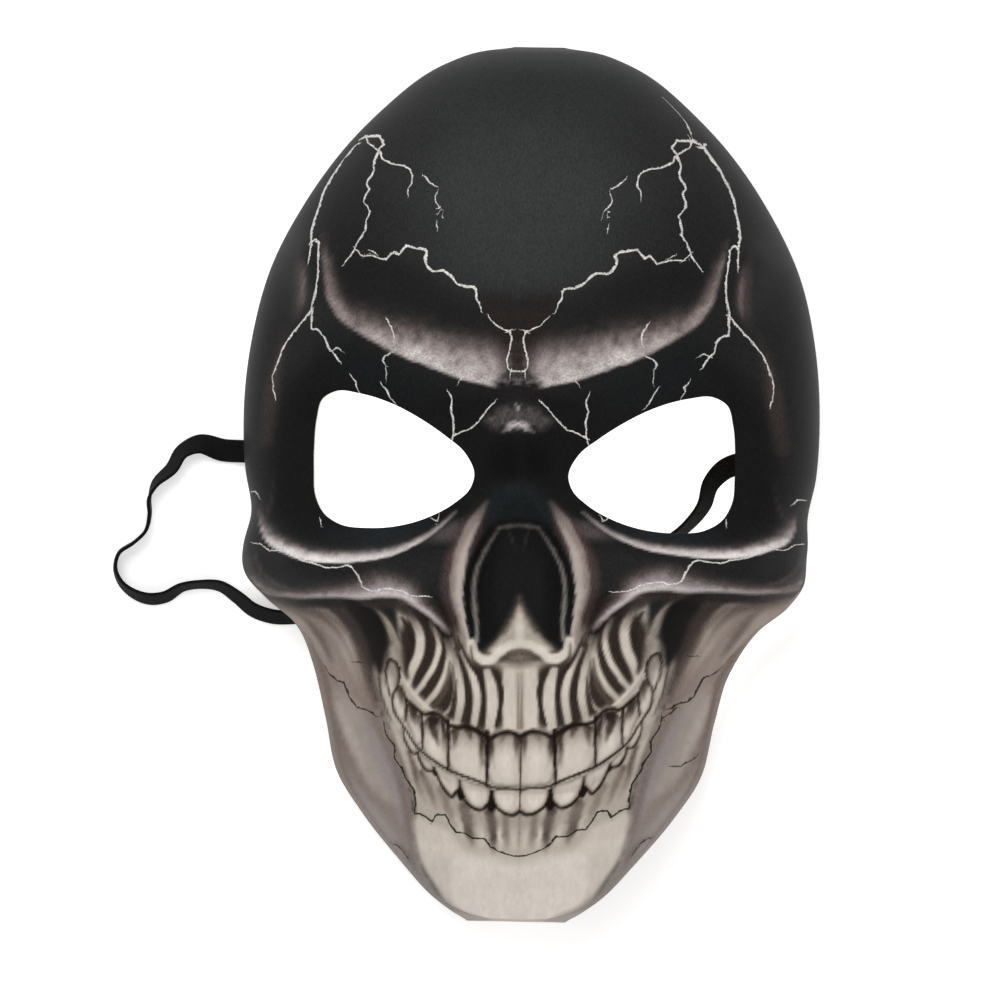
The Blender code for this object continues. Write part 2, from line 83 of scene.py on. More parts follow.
# height, half width and depth as shares, squareness, and the rim's share of RIM_ARCH
SECTIONS = (
    (0.000, 0.171, 0.000, 2.2, 0.0), (0.004, 0.189, 0.200, 2.2, 0.0), (0.014, 0.238, 0.420, 2.2, 0.0),
    (0.034, 0.315, 0.600, 2.2, 0.0), (0.068, 0.409, 0.740, 2.2, 0.0), (0.122, 0.545, 0.850, 2.1, 0.0),
    (0.168, 0.634, 0.910, 2.1, 0.0), (0.232, 0.679, 0.950, 2.1, 0.2), (0.290, 0.726, 0.970, 2.1, 0.8),
    (0.336, 0.802, 0.975, 2.2, 1.0), (0.366, 0.909, 0.980, 2.3, 1.0), (0.392, 0.971, 0.985, 2.4, 1.0),
    (0.428, 0.980, 0.985, 2.4, 1.0), (0.464, 0.966, 0.985, 2.4, 1.0), (0.512, 0.991, 0.990, 2.4, 1.0),
    (0.580, 1.000, 1.000, 2.4, 1.0), (0.660, 0.980, 0.990, 2.4, 0.5), (0.740, 0.923, 0.950, 2.3, 0.1),
    (0.820, 0.802, 0.880, 2.2, 0.0), (0.880, 0.674, 0.790, 2.1, 0.0), (0.928, 0.535, 0.670, 2.1, 0.0),
    (0.964, 0.405, 0.530, 2.1, 0.0), (0.988, 0.262, 0.330, 2.1, 0.0), (1.000, 0.086, 0.000, 2.1, 0.0),
)
# x, y, wide, tall as shares, tilt in degrees, lift as a share of RELIEF, steepness of the edge
FORMS = {
    "muzzle": (0.00, 0.240, 0.50, 0.170, 0.0, 0.55, 4),
    "chin": (0.00, 0.055, 0.30, 0.050, 0.0, 0.30, 2),
    "lip_groove": (0.00, 0.108, 0.26, 0.020, 0.0, -0.16, 2),
    "jaw_plane": (0.60, 0.190, 0.10, 0.110, 8.0, -0.20, 2),
    "cheek_hollow": (0.66, 0.300, 0.16, 0.055, 20.0, -0.70, 2),
    "cheekbone": (0.70, 0.398, 0.26, 0.030, 8.0, 0.45, 2),
    "nose_bridge": (0.00, 0.540, 0.12, 0.065, 0.0, 0.70, 2),
    "nose_root": (0.00, 0.618, 0.12, 0.020, 0.0, -0.25, 2),
    "nose_hollow": (0.00, 0.385, 0.150, 0.075, 0.0, -0.75, 4),
    "nose_sill": (0.00, 0.318, 0.12, 0.016, 0.0, 0.30, 2),
    "temple": (0.84, 0.680, 0.10, 0.090, 0.0, -0.25, 2),
}
EYE_FORMS = {"socket": (0.03, 0.03, 0.68, 0.68, 4.0, -0.85, 3)}
# lift, half width, and the points of each ridge
EYE_RIDGES = {
    "brow": (
        0.62, 0.085,
        ((-0.78, 0.72), (-0.50, 0.80), (-0.15, 0.93), (0.20, 1.04), (0.46, 1.22), (0.60, 1.50)),
    ),
    "orbit_rim": (
        0.32, 0.060,
        ((-0.40, -0.42), (-0.05, -0.70), (0.32, -0.77), (0.62, -0.68), (0.78, -0.42)),
    ),
}
FACE_RIDGES = {
    "nose_rim": (0.24, 0.045, ((0.050, 0.485), (0.150, 0.440), (0.200, 0.375), (0.165, 0.325))),
}
TOOTH_EDGES = (0.0, 0.263, 0.550, 0.740, 0.855)
MOUTH_RISES = {"meeting": (0.088, 3.2), "upper_gum": (0.056, 4.0), "lower_gum": (0.100, 3.0)}
EYE_OUTLINE = (
    (0.000, 0.400), (0.025, 0.300), (0.110, 0.200), (0.280, 0.085), (0.460, 0.020), (0.650, 0.000),
    (0.830, 0.025), (0.930, 0.100), (0.985, 0.220), (1.000, 0.420), (1.000, 0.600), (0.985, 0.800),
    (0.950, 0.940), (0.860, 1.000), (0.720, 0.985), (0.530, 0.920), (0.330, 0.800), (0.180, 0.680),
    (0.060, 0.560),
)
# The elastic's middle line from patch to patch: x, y, height of its lower side, heading and roll
STRAP_ROUTE = (
    (-0.0795, 0.0081, 0.0030, 180, 0), (-0.0835, 0.0081, 0.0010, 180, 0), (-0.0884, 0.0083, 0.0, 180, 2),
    (-0.0956, 0.0099, 0.0, 190, 35), (-0.1004, 0.0075, 0.0, 235, 50), (-0.1029, 0.0032, 0.0, 232, 55),
    (-0.1080, -0.0020, 0.0, 235, 72), (-0.1094, -0.0060, 0.0, 268, 88), (-0.1092, -0.0105, 0.0, 270, 88),
    (-0.1103, -0.0152, 0.0, 248, 86), (-0.1134, -0.0184, 0.0, 218, 86), (-0.1179, -0.0218, 0.0, 232, 84),
    (-0.1188, -0.0258, 0.0, 278, 82), (-0.1172, -0.0300, 0.0, 300, 76), (-0.1137, -0.0330, 0.0, 330, 68),
    (-0.1085, -0.0346, 0.0, 358, 62), (-0.1045, -0.0340, 0.0, 388, 64), (-0.0995, -0.0311, 0.0, 380, 72),
    (-0.0944, -0.0302, 0.0, 360, 72), (-0.0886, -0.0306, 0.0, 345, 64), (-0.0837, -0.0336, 0.0, 322, 56),
    (-0.0790, -0.0372, 0.0, 334, 52), (-0.0740, -0.0389, 0.0, 352, 52), (-0.0660, -0.0391, 0.0, 362, 58),
    (-0.0480, -0.0375, 0.0, 368, 70), (-0.0200, -0.0325, 0.0, 372, 80), (0.0100, -0.0255, 0.0, 374, 82),
    (0.0330, -0.0185, 0.0, 382, 76), (0.0445, -0.0113, 0.0, 404, 66), (0.0494, -0.0050, 0.0, 426, 56),
    (0.0512, 0.0010, 0.0004, 412, 44), (0.0550, 0.0052, 0.0012, 384, 26), (0.0620, 0.0075, 0.0030, 366, 8),
    (0.0700, 0.0081, 0.0055, 360, 0),
)
STRAP_ENDS = (
    ((-0.07729, 0.0080, 0.01052, 180, 0), (-0.07771, 0.0080, 0.00705, 180, 0)),
    ((0.07772, 0.0080, 0.00705, 360, 0), (0.07730, 0.0080, 0.01052, 360, 0)),
)

# The view: the point that lies in the middle of the picture, and the turns from straight on
VIEW_TARGET = (-0.00855, -0.00456, 0.010)
VIEW_DISTANCE = 2.49
SENSOR_WIDTH = 36.0  # millimetres
VIEW_YAW = math.radians(3.0)
VIEW_ROLL = math.radians(1.0)
ARTWORK_SCALE = 3512.0  # artwork units to the metre
ARTWORK_MIDDLE = 500.0


def smoothstep(low, high, value):
    """0 before low, 1 past high, and between them 3t^2 - 2t^3 of the share t of the way from low to high,
    so it falls where low is the larger of the two."""
    share = np.clip((value - low) / (high - low), 0.0, 1.0)
    return share * share * (3.0 - 2.0 * share)


def curve_through(points, stations, closed=False, lengths=None):
    """Points of a smooth curve at stations counted from 0 to the last given point.

    Between two given points p and q, with slopes a and b and a knot step h, the place at the share t is
    p(1+2t)(1-t)^2 + q(3-2t)t^2 + ha t(1-t)^2 - hb(1-t)t^2, the cubic Hermite form.
    """
    points = np.asarray(points, dtype=float)
    if closed:
        points = np.vstack([points[-1:], points, points[:2]])
    reach = points if lengths is None else points * np.asarray(lengths)
    knots = np.concatenate([[0.0], np.cumsum(np.linalg.norm(np.diff(reach, axis=0), axis=1))])
    slopes = np.gradient(points, knots, axis=0)
    place = np.asarray(stations, dtype=float) + (1.0 if closed else 0.0)
    index = np.clip(place.astype(int), 0, len(points) - 2)
    share = (place - index)[:, None]
    step = (knots[index + 1] - knots[index])[:, None]
    rest = 1.0 - share
    return (
        points[index] * (1.0 + 2.0 * share) * rest ** 2
        + points[index + 1] * (3.0 - 2.0 * share) * share ** 2
        + slopes[index] * step * share * rest ** 2
        - slopes[index + 1] * step * rest * share ** 2
    )


def distance_to_line(x, y, points):
    """Distance from each place to the nearest of a line's straight runs: the foot of the perpendicular,
    held between the run's two ends, and the smallest over all runs."""
    nearest = np.full(x.shape, np.inf)
    for (ax, ay), (bx, by) in zip(points[:-1], points[1:]):
        run_x, run_y = bx - ax, by - ay
        share = ((x - ax) * run_x + (y - ay) * run_y) / (run_x ** 2 + run_y ** 2)
        share = np.clip(share, 0.0, 1.0)
        nearest = np.minimum(nearest, np.hypot(x - ax - share * run_x, y - ay - share * run_y))
    return nearest


def swelling(x, y, form, middle, unit):
    """exp(-r^n) in a tilted ellipse: r is the distance from its middle in its half axes, and n its edge."""
    form_x, form_y, wide, tall, tilt, _, edge = form
    turn = math.radians(tilt)
    out = x - middle[0] - form_x * unit[0]
    up = y - middle[1] - form_y * unit[1]
    along = (out * math.cos(turn) + up * math.sin(turn)) / (wide * unit[0])
    across = (up * math.cos(turn) - out * math.sin(turn)) / (tall * unit[1])
    return np.exp(-np.hypot(along, across) ** edge)


def swellings(x, y, forms, middle, unit):
    """The sum of lift times swelling over a table, each mirrored in x unless it lies on the middle line."""
    lift = np.zeros_like(x)
    for form in forms.values():
        shape = swelling(x, y, form, middle, unit)
        if middle[0] + form[0] * unit[0] > 0.0:
            shape = shape + swelling(-x, y, form, middle, unit)
        lift += form[5] * RELIEF * shape
    return lift


def raised_lines(x, y, ridges, middle, unit):
    """The sum of lift times exp(-(d / half width)^2) over a table, d the distance to each mirrored line."""
    lift = np.zeros_like(x)
    for share, half_width, points in ridges.values():
        line = [(middle[0] + out * unit[0], middle[1] + up * unit[1]) for out, up in points]
        away = distance_to_line(np.abs(x), y, line) / (half_width * HALF_WIDTH)
        lift += share * RELIEF * np.exp(-away ** 2)
    return lift


def mouth_line(x, name, base):
    """base + rise |x / mouth's half width|^power, the height of one line of the mouth."""
    rise, power = MOUTH_RISES[name]
    return base + rise * HEIGHT * np.minimum(np.abs(x) / MOUTH_HALF_WIDTH, 1.2) ** power


def teeth(x, y):
    """Rise of the teeth: 1 - exp(-(d / groove)^2) inside the two rows, d the distance to a tooth's edge,
    less the same bell along the line where the rows meet."""
    upper_gum = mouth_line(x, "upper_gum", MOUTH_LEVEL + UPPER_TOOTH)
    meeting = mouth_line(x, "meeting", MOUTH_LEVEL)
    lower_gum = mouth_line(x, "lower_gum", MOUTH_LEVEL - LOWER_TOOTH)
    in_row = smoothstep(lower_gum - GUM_EDGE, lower_gum + GUM_EDGE, y)
    in_row *= 1.0 - smoothstep(upper_gum - GUM_EDGE, upper_gum + GUM_EDGE, y)
    in_row *= 1.0 - smoothstep(0.92, 1.04, np.abs(x) / MOUTH_HALF_WIDTH)
    grooves = np.zeros_like(x)
    for edge in TOOTH_EDGES:
        grooves = np.maximum(grooves, np.exp(-((np.abs(x) - edge * MOUTH_HALF_WIDTH) / TOOTH_GROOVE) ** 2))
    mouth = np.exp(-((y - meeting) / TOOTH_GROOVE) ** 2)
    return in_row * (TOOTH_RISE * (1.0 - grooves) - MOUTH_DEPTH * mouth)


def face_forms(x, y):
    """How far the face rises over the plain dome: the sum of its swellings and raised lines."""
    face = (0.0, 0.0), (HALF_WIDTH, HEIGHT)
    eye = (EYE_SPREAD + 0.5 * EYE_WIDTH, EYE_LEVEL + 0.5 * EYE_HEIGHT), (EYE_WIDTH, EYE_HEIGHT)
    lift = swellings(x, y, FORMS, *face) + swellings(x, y, EYE_FORMS, *eye)
    return lift + raised_lines(x, y, FACE_RIDGES, *face) + raised_lines(x, y, EYE_RIDGES, *eye)


def section_shapes(stations):
    """Height, half width, depth, squareness and rim share at each station of the section table."""
    return curve_through(SECTIONS, stations, lengths=(HEIGHT, HALF_WIDTH, DEPTH, 0.0, 0.0)).T


def jaw_twist(y, z):
    """How far x moves in the small twist of the soft shell: below the turn, the shift at the rim plus the
    change times z over the front's height, less a bell of y beside the cheekbones, exp(-(dy / half)^2),
    that fades in proportion to z and ends at its reach."""
    rim, change, front = JAW_SHIFT
    middle, half, shift, reach = CHEEK_SHIFT
    jaw = (1.0 - smoothstep(*JAW_TURN, y)) * (rim + change * z / front)
    return jaw - shift * np.exp(-((y - middle) / half) ** 2) * np.clip(1.0 - z / reach, 0.0, 1.0)


def shell_surface(stations, shares, with_teeth):
    """Outer surface as a function of station and share.

    x = half width * share, and z = rim + (top - rim) (1 - |share|^power)^(1 / power), to which the face's
    forms are added, times a smoothstep of the height over the rim.
    """
    height, half_width, depth, power, rim = (column[:, None] for column in section_shapes(stations))
    share = shares[None, :]
    rim_z = np.clip(rim, 0.0, 1.0) * RIM_ARCH
    x = half_width * HALF_WIDTH * share
    y = height * HEIGHT + 0.0 * share
    arch = (1.0 - np.abs(share) ** power) ** (1.0 / power)
    z = rim_z + np.maximum(np.maximum(depth * DEPTH, 0.0) - rim_z, 0.0) * arch
    lift = face_forms(x, y)
    if with_teeth:
        lift = lift + teeth(x, y)
    z = z + lift * smoothstep(0.0, RIM_FADE, z - rim_z)
    y = y - 0.5 * HEIGHT
    return np.stack([x + jaw_twist(y, z), y, z], axis=-1)


def even_places(path, spacing, steps_of):
    """Parameters at which a path advances by its local spacing: the running sum of |dp| / spacing, divided
    into a whole number of equal steps that steps_of divides."""
    parameters, points = path
    steps = np.linalg.norm(np.diff(points, axis=0), axis=1) / spacing[:-1]
    reached = np.concatenate([[0.0], np.cumsum(steps)])
    count = int(math.ceil(reached[-1] / steps_of)) * steps_of
    return np.interp(np.linspace(0.0, reached[-1], count + 1), reached, parameters)


def border_loop(rows, columns, stride=1):
    """Indices of a grid's border points, once round from its first corner."""
    index = np.arange(rows * columns).reshape(rows, columns)
    return np.concatenate([index[0, :-1], index[:-1, -1], index[-1, :0:-1], index[:0:-1, 0]])[::stride]


def grid_faces(rows, columns, first, outwards):
    """Four-sided faces of a grid of points, turned outwards or inwards, as one array of corner indices."""
    corner = first + (np.arange(rows - 1)[:, None] * columns + np.arange(columns - 1)[None, :]).ravel()
    faces = np.stack([corner, corner + 1, corner + columns + 1, corner + columns], axis=-1)
    return faces if outwards else faces[:, ::-1]


def grid_normals(grid):
    """Unit cross products of a grid's two tangents, level and square to the border along its border."""
    normals = np.cross(np.gradient(grid, axis=1), np.gradient(grid, axis=0))
    flat = grid.reshape(-1, 3)
    loop = border_loop(*grid.shape[:2])
    run = np.roll(flat[loop], -1, axis=0) - np.roll(flat[loop], 1, axis=0)
    normals.reshape(-1, 3)[loop] = np.stack([run[:, 1], -run[:, 0], 0.0 * run[:, 0]], axis=-1)
    return normals / np.linalg.norm(normals, axis=-1, keepdims=True)


# Spacing of the dressed shell's rows, by height over the chin, and of its columns, by share of the half
# width, and how many of both the inner surface has one of
ROW_SPACING = ((0.0, 0.00095), (0.012, 0.00085), (0.025, 0.00058), (0.095, 0.00058), (0.110, 0.00047),
               (0.150, 0.00047), (0.168, 0.00090), (0.200, 0.00140), (0.240, 0.00140), (0.250, 0.00090))
COLUMN_SPACING = ((0.0, 0.0092), (0.50, 0.0092), (0.75, 0.0120), (0.90, 0.022), (1.0, 0.032))
INNER_STRIDE = 4


def shell_stations():
    """Row stations, by the arc length of the middle profile over the row spacing at each height."""
    fine = np.linspace(0.0, len(SECTIONS) - 1, FINE_STATIONS)
    height, _, depth, _, _ = section_shapes(fine)
    profile = np.stack([height * HEIGHT, np.maximum(depth, 0.0) * DEPTH], axis=-1)
    spacing = np.interp(height * HEIGHT, *zip(*ROW_SPACING))
    return even_places((fine, profile), spacing, INNER_STRIDE)


def shell_shares():
    """Column shares from -1 to 1, by the arc length of a middling section, whose height is a depth times
    (1 - share^power)^(1 / power), over the column spacing."""
    fine = np.linspace(0.0, 1.0, FINE_SHARES)
    arch = (1.0 - fine ** MIDDLING_POWER) ** (1.0 / MIDDLING_POWER)
    spacing = np.interp(fine, *zip(*COLUMN_SPACING))
    half = even_places((fine, np.stack([fine, MIDDLING_DEPTH * arch], axis=-1)), spacing, INNER_STRIDE)
    return np.concatenate([-half[:0:-1], half])


def shell_mesh():
    """Vertices and faces of the closed shell, and each face's material: 0 knit, 1 cut rim, 2 back.

    The inner surface is the plain outer one at every fourth row and column, less the wall times its unit
    normal. The rim joins the two borders with fans of triangles.
    """
    stations, shares = shell_stations(), shell_shares()
    outer = shell_surface(stations, shares, True)
    plain = shell_surface(stations[::INNER_STRIDE], shares[::INNER_STRIDE], False)
    inner = plain - WALL * grid_normals(plain)
    outer_size, inner_size = outer.shape[:2], inner.shape[:2]
    first_inner = outer_size[0] * outer_size[1]
    verts = np.concatenate([outer.reshape(-1, 3), inner.reshape(-1, 3)])
    knit = grid_faces(*outer_size, 0, True)
    back = grid_faces(*inner_size, first_inner, False)
    outside = border_loop(*outer_size)
    inside = first_inner + border_loop(*inner_size)
    here = np.repeat(inside, INNER_STRIDE)
    after = np.repeat(np.roll(inside, -1), INNER_STRIDE)
    nearer = np.where(np.tile(np.arange(INNER_STRIDE), len(inside)) < INNER_STRIDE // 2, here, after)
    fans = np.stack([np.roll(outside, -1), outside, nearer], axis=-1)
    middles = outside[INNER_STRIDE // 2::INNER_STRIDE]
    links = np.stack([middles, inside, np.roll(inside, -1)], axis=-1)
    rim = np.concatenate([fans, links])
    faces = knit.tolist() + rim.tolist() + back.tolist()
    slots = np.repeat([0, 1, 2], [len(knit), len(rim), len(back)])
    return verts, faces, slots


def eye_cutter(side):
    """A straight prism on the outline of one eye opening (1 right, -1 left), from below the rim to above."""
    stations = np.linspace(0.0, len(EYE_OUTLINE), EYE_POINTS, endpoint=False)
    shares = curve_through(EYE_OUTLINE, stations, closed=True, lengths=(EYE_WIDTH, EYE_HEIGHT))
    x = side * (EYE_SPREAD + shares[:, 0] * EYE_WIDTH)
    y = EYE_LEVEL + shares[:, 1] * EYE_HEIGHT - 0.5 * HEIGHT
    outline = np.stack([x, y], axis=-1)[::side]
    count = len(outline)
    ends = [np.column_stack([outline, np.full(count, z)]) for z in (-0.5 * DEPTH, 2.0 * DEPTH)]
    around = np.arange(count)
    after = np.roll(around, -1)
    walls = np.stack([around, after, after + count, around + count], axis=-1)
    return np.concatenate(ends), [around[::-1].tolist(), (around + count).tolist()] + walls.tolist()


def strap_line(count):
    """The elastic's middle line and its width's direction at even stations of the route's smooth curve.

    The lower side's height is the middle's less half of (width sin(roll) + thickness cos(roll)), and the
    width points along (-sin(heading) cos(roll), cos(heading) cos(roll), sin(roll)).
    """
    table = np.array(STRAP_ENDS[0] + STRAP_ROUTE + STRAP_ENDS[1], dtype=float)
    stations = np.linspace(0.0, len(table) - 1, count)
    x, y, rise, heading, roll = curve_through(table, stations, lengths=(1.0, 1.0, 1.0, 0.0, 0.0)).T
    heading, roll = np.radians(heading), np.radians(np.clip(roll, 0.0, 90.0))
    lift = 0.5 * (STRAP_WIDTH * np.sin(roll) + STRAP_THICKNESS * np.cos(roll))
    centres = np.stack([x, y, np.maximum(rise, 0.0) + lift], axis=-1)
    level = np.cos(roll)
    return centres, np.stack([-np.sin(heading) * level, np.cos(heading) * level, np.sin(roll)], axis=-1)


def band_mesh(centres, across):
    """A flat band with round edges: each of its rings is centre + a w + b t over the outline's pairs (a, b),
    w across and t through the band. Gives its vertices, faces, each vertex's place along and across the
    band, and its length."""
    ahead = np.gradient(centres, axis=0)
    ahead /= np.linalg.norm(ahead, axis=1, keepdims=True)
    across = across - ahead * np.sum(across * ahead, axis=1, keepdims=True)
    across /= np.linalg.norm(across, axis=1, keepdims=True)
    through = np.cross(ahead, across)
    half_width, half_thick = 0.5 * STRAP_WIDTH, 0.5 * STRAP_THICKNESS
    flat = np.linspace(-1.0, 1.0, BAND_FLAT_POINTS) * (half_width - half_thick)
    bend = np.radians(np.linspace(-90.0, 90.0, BAND_BEND_POINTS))[1:-1]
    right = np.column_stack([half_width - half_thick + half_thick * np.cos(bend), half_thick * np.sin(bend)])
    outline = np.concatenate([
        np.column_stack([flat, np.full(len(flat), -half_thick)]), right,
        np.column_stack([flat[::-1], np.full(len(flat), half_thick)]), -right,
    ])
    rings = centres[:, None] + outline[:, 0, None] * across[:, None] + outline[:, 1, None] * through[:, None]
    around = len(outline)
    verts = rings.reshape(-1, 3)
    verts[:, 2] = np.maximum(verts[:, 2], 0.0)
    row = (np.arange(len(centres) - 1) * around)[:, None]
    here, after = np.arange(around)[None, :], np.roll(np.arange(around), -1)[None, :]
    faces = np.stack([row + here, row + after, row + around + after, row + around + here], axis=-1)
    last = len(verts) - around
    caps = [list(range(around))[::-1], list(range(last, last + around))]
    length = np.concatenate([[0.0], np.cumsum(np.linalg.norm(np.diff(centres, axis=0), axis=1))])
    along = np.repeat(length, around)
    over = np.tile(outline[:, 0], len(centres))
    return verts, faces.reshape(-1, 4).tolist() + caps, along, over, length[-1]


def rgb(hex_colour):
    """The three sRGB shares of a hex colour."""
    return np.array([int(hex_colour[start:start + 2], 16) / 255.0 for start in (1, 3, 5)])


def linear(hex_colour):
    """A hex colour as the shader reads it."""
    return to_linear(rgb(hex_colour))


def to_linear(channels):
    """sRGB channels c as linear ones: c / 12.92 up to 0.04045, and ((c + 0.055) / 1.055)^2.4 above."""
    low = channels / 12.92
    return np.where(channels <= 0.04045, low, ((np.maximum(channels, 0.0) + 0.055) / 1.055) ** 2.4)


def new_material(name):
    """A new node material, its tree and its Principled shader."""
    material = bpy.data.materials.new(name)
    material.use_nodes = True
    nodes = material.node_tree.nodes
    return material, material.node_tree, nodes["Principled BSDF"]


# Settings of the nodes that are used most
SMOOTH = {"interpolation_type": "SMOOTHSTEP"}
COLOURS = {"data_type": "RGBA"}
ADD = {"operation": "ADD"}
SUBTRACT = {"operation": "SUBTRACT"}
MULTIPLY = {"operation": "MULTIPLY"}


def node(tree, kind, settings, *values, output=0, **named):
    """Adds a shader node, sets its properties, fills its inputs in order and by name (k6 is the seventh) with
    numbers, colours or links, and gives one of its outputs."""
    item = tree.nodes.new("ShaderNode" + kind)
    for key, value in settings.items():
        setattr(item, key, value)
    for socket, value in zip(item.inputs, values):
        fill(tree, socket, value)
    for key, value in named.items():
        fill(tree, item.inputs[int(key[1:]) if key[1:].isdigit() else key.replace("_", " ")], value)
    return item.outputs[output]


def fill(tree, socket, value):
    """Links an output to a socket, or sets the socket to a number or colour."""
    if isinstance(value, bpy.types.NodeSocket):
        tree.links.new(value, socket)
    elif hasattr(value, "__len__") and len(value) == 3 and socket.type == "RGBA":
        socket.default_value = (*value, 1.0)
    else:
        socket.default_value = value


def add_object(name, verts, faces, materials, slots=None, sharp=None):
    """A smooth-shaded mesh object at the origin, with edges sharper than an angle kept hard."""
    mesh = bpy.data.meshes.new(name)
    mesh.from_pydata(np.asarray(verts).tolist(), [], faces)
    for material in materials:
        mesh.materials.append(material)
    if slots is not None:
        mesh.polygons.foreach_set("material_index", np.asarray(slots, dtype=np.int32))
    mesh.shade_smooth()
    if sharp is not None:
        mesh.set_sharp_from_angle(angle=math.radians(sharp))
    mesh.update()
    item = bpy.data.objects.new(name, mesh)
    bpy.context.scene.collection.objects.link(item)
    return item


def vertex_places(mesh):
    """A mesh's vertices as an array."""
    places = np.empty(len(mesh.vertices) * 3)
    mesh.vertices.foreach_get("co", places)
    return places.reshape(-1, 3)


def cut_shell(materials):
    """The dressed shell with both eyes cut through, as a plain mesh object without modifiers."""
    verts, faces, slots = shell_mesh()
    whole = add_object("whole_shell", verts, faces, materials, slots)
    cutters = []
    for side, label in ((-1, "left"), (1, "right")):
        cutter_verts, cutter_faces = eye_cutter(side)
        cutter = add_object(f"cutter_{label}", cutter_verts, cutter_faces, materials,
                            np.ones(len(cutter_faces), dtype=np.int32))
        cut = whole.modifiers.new(f"eye_{label}", "BOOLEAN")
        cut.operation = "DIFFERENCE"
        cut.solver = "EXACT"
        cut.object = cutter
        cutters.append(cutter)
    graph = bpy.context.evaluated_depsgraph_get()
    mesh = bpy.data.meshes.new_from_object(whole.evaluated_get(graph))
    mesh.name = "printed_shell"
    for item in cutters + [whole]:
        bpy.data.objects.remove(item, do_unlink=True)
    mesh.shade_smooth()
    mesh.set_sharp_from_angle(angle=math.radians(50.0))
    shell = bpy.data.objects.new("printed_shell", mesh)
    bpy.context.scene.collection.objects.link(shell)
    return shell


def view_axes():
    """The camera's right, up and back directions: turned by the yaw about +Y, then rolled."""
    right = np.array([math.cos(VIEW_YAW), 0.0, -math.sin(VIEW_YAW)])
    up = np.array([0.0, 1.0, 0.0])
    back = np.array([math.sin(VIEW_YAW), 0.0, math.cos(VIEW_YAW)])
    turned_right = math.cos(VIEW_ROLL) * right + math.sin(VIEW_ROLL) * up
    turned_up = math.cos(VIEW_ROLL) * up - math.sin(VIEW_ROLL) * right
    return turned_right, turned_up, back


def artwork_places(points):
    """Where points of the face lie on the flat artwork: x right and y down, seen from the camera's place.

    Each is the middle plus or minus the scale times its offset from the target along the view's right and
    up, over 1 less its offset along the view's back as a share of the distance.
    """
    right, up, back = view_axes()
    offset = points - np.array(VIEW_TARGET)
    nearness = 1.0 - offset @ back / VIEW_DISTANCE
    return (
        ARTWORK_MIDDLE + ARTWORK_SCALE * (offset @ right) / nearness,
        ARTWORK_MIDDLE - ARTWORK_SCALE * (offset @ up) / nearness,
    )


def add_camera():
    """The camera straight over the mask, as far away as a long lens is used from."""
    right, up, back = view_axes()
    camera = bpy.data.cameras.new("view")
    camera.sensor_width = SENSOR_WIDTH
    camera.lens = SENSOR_WIDTH * VIEW_DISTANCE * ARTWORK_SCALE / (2.0 * ARTWORK_MIDDLE)
    camera.clip_end = 20.0
    item = bpy.data.objects.new("view", camera)
    turn = Matrix((right, up, back)).transposed().to_4x4()
    item.matrix_world = Matrix.Translation(Vector(VIEW_TARGET) + Vector(back) * VIEW_DISTANCE) @ turn
    bpy.context.scene.collection.objects.link(item)
    bpy.context.scene.camera = item


def add_lamp(name, place, aim, size, power):
    """A square soft box that faces a point."""
    lamp = bpy.data.lights.new(name, "AREA")
    lamp.shape = "SQUARE"
    lamp.size = size
    lamp.energy = power
    item = bpy.data.objects.new(name, lamp)
    item.location = place
    item.rotation_euler = (Vector(aim) - Vector(place)).to_track_quat("-Z", "Y").to_euler()
    bpy.context.scene.collection.objects.link(item)


# The studio: name, place, aim, side and watts of each soft box, and the floor and its glow, in metres
SOFT_BOXES = (
    ("soft_box_crown", (-0.25, 0.75, 1.25), (0.0, 0.02, 0.03), 0.9, 12.1),
    ("soft_box_chin", (0.35, -0.9, 1.35), (0.0, -0.02, 0.03), 1.1, 8.6),
)
ROOM_LIGHT = 0.45
FLOOR_HALF = 1.6
FLOOR_LEVEL = -0.0003
# The floor gives off light of its own, strongest under the mask, to light the inside seen through the eyes
# and soften the shadow round it
GLOW_HALF_WIDTH = 0.070
GLOW_HALF_HEIGHT = 0.110
GLOW_FADES_FROM = 0.75
GLOW_UNDER_MASK = 0.95
GLOW_AROUND = 0.38


def add_studio():
    """A pale floor that glows like a light table, most under the mask: the floor gives off this light itself,
    lighting the inside seen through the eye openings and softening the mask's shadow round it; soft boxes and
    an even white room.
    """
    card, tree, shader = new_material("glowing_white_floor")
    shader.inputs["Base Color"].default_value = (*linear("#f4f4f4"), 1.0)
    shader.inputs["Roughness"].default_value = 0.9
    shader.inputs["Emission Color"].default_value = (1.0, 1.0, 1.0, 1.0)
    place = node(tree, "Mapping", {}, Vector=node(tree, "TexCoord", {}, output="Object"),
                 Scale=(1.0 / GLOW_HALF_WIDTH, 1.0 / GLOW_HALF_HEIGHT, 1.0))
    away = node(tree, "VectorMath", {"operation": "LENGTH"}, place, output="Value")
    glow = node(tree, "MapRange", SMOOTH, away, GLOW_FADES_FROM, 1.0, GLOW_UNDER_MASK, GLOW_AROUND)
    fill(tree, shader.inputs["Emission Strength"], glow)
    corners = [(x * FLOOR_HALF, y * FLOOR_HALF, FLOOR_LEVEL) for x, y in ((-1, -1), (1, -1), (1, 1), (-1, 1))]
    floor = add_object("floor", corners, [(0, 1, 2, 3)], [card])
    for name, place, aim, size, power in SOFT_BOXES:
        add_lamp(name, place, aim, size, power)
    world = bpy.data.worlds.new("studio")
    world.use_nodes = True
    world.node_tree.nodes["Background"].inputs["Color"].default_value = (1.0, 1.0, 1.0, 1.0)
    world.node_tree.nodes["Background"].inputs["Strength"].default_value = ROOM_LIGHT
    bpy.context.scene.world = world
    bpy.context.scene.view_settings.view_transform = "Standard"


# The random blotches' lattice, the shift from octave to octave, and what brings their range to about 1
LATTICE = 64
LATTICE_SLIP = (17.3, 9.1)
CLOUD_GAIN = 1.6
CURVE_STEPS = 4  # straight runs to each stretch of a drawn curve
SHELF_CREST = 0.15  # share of a highlight's height that stays at full strength


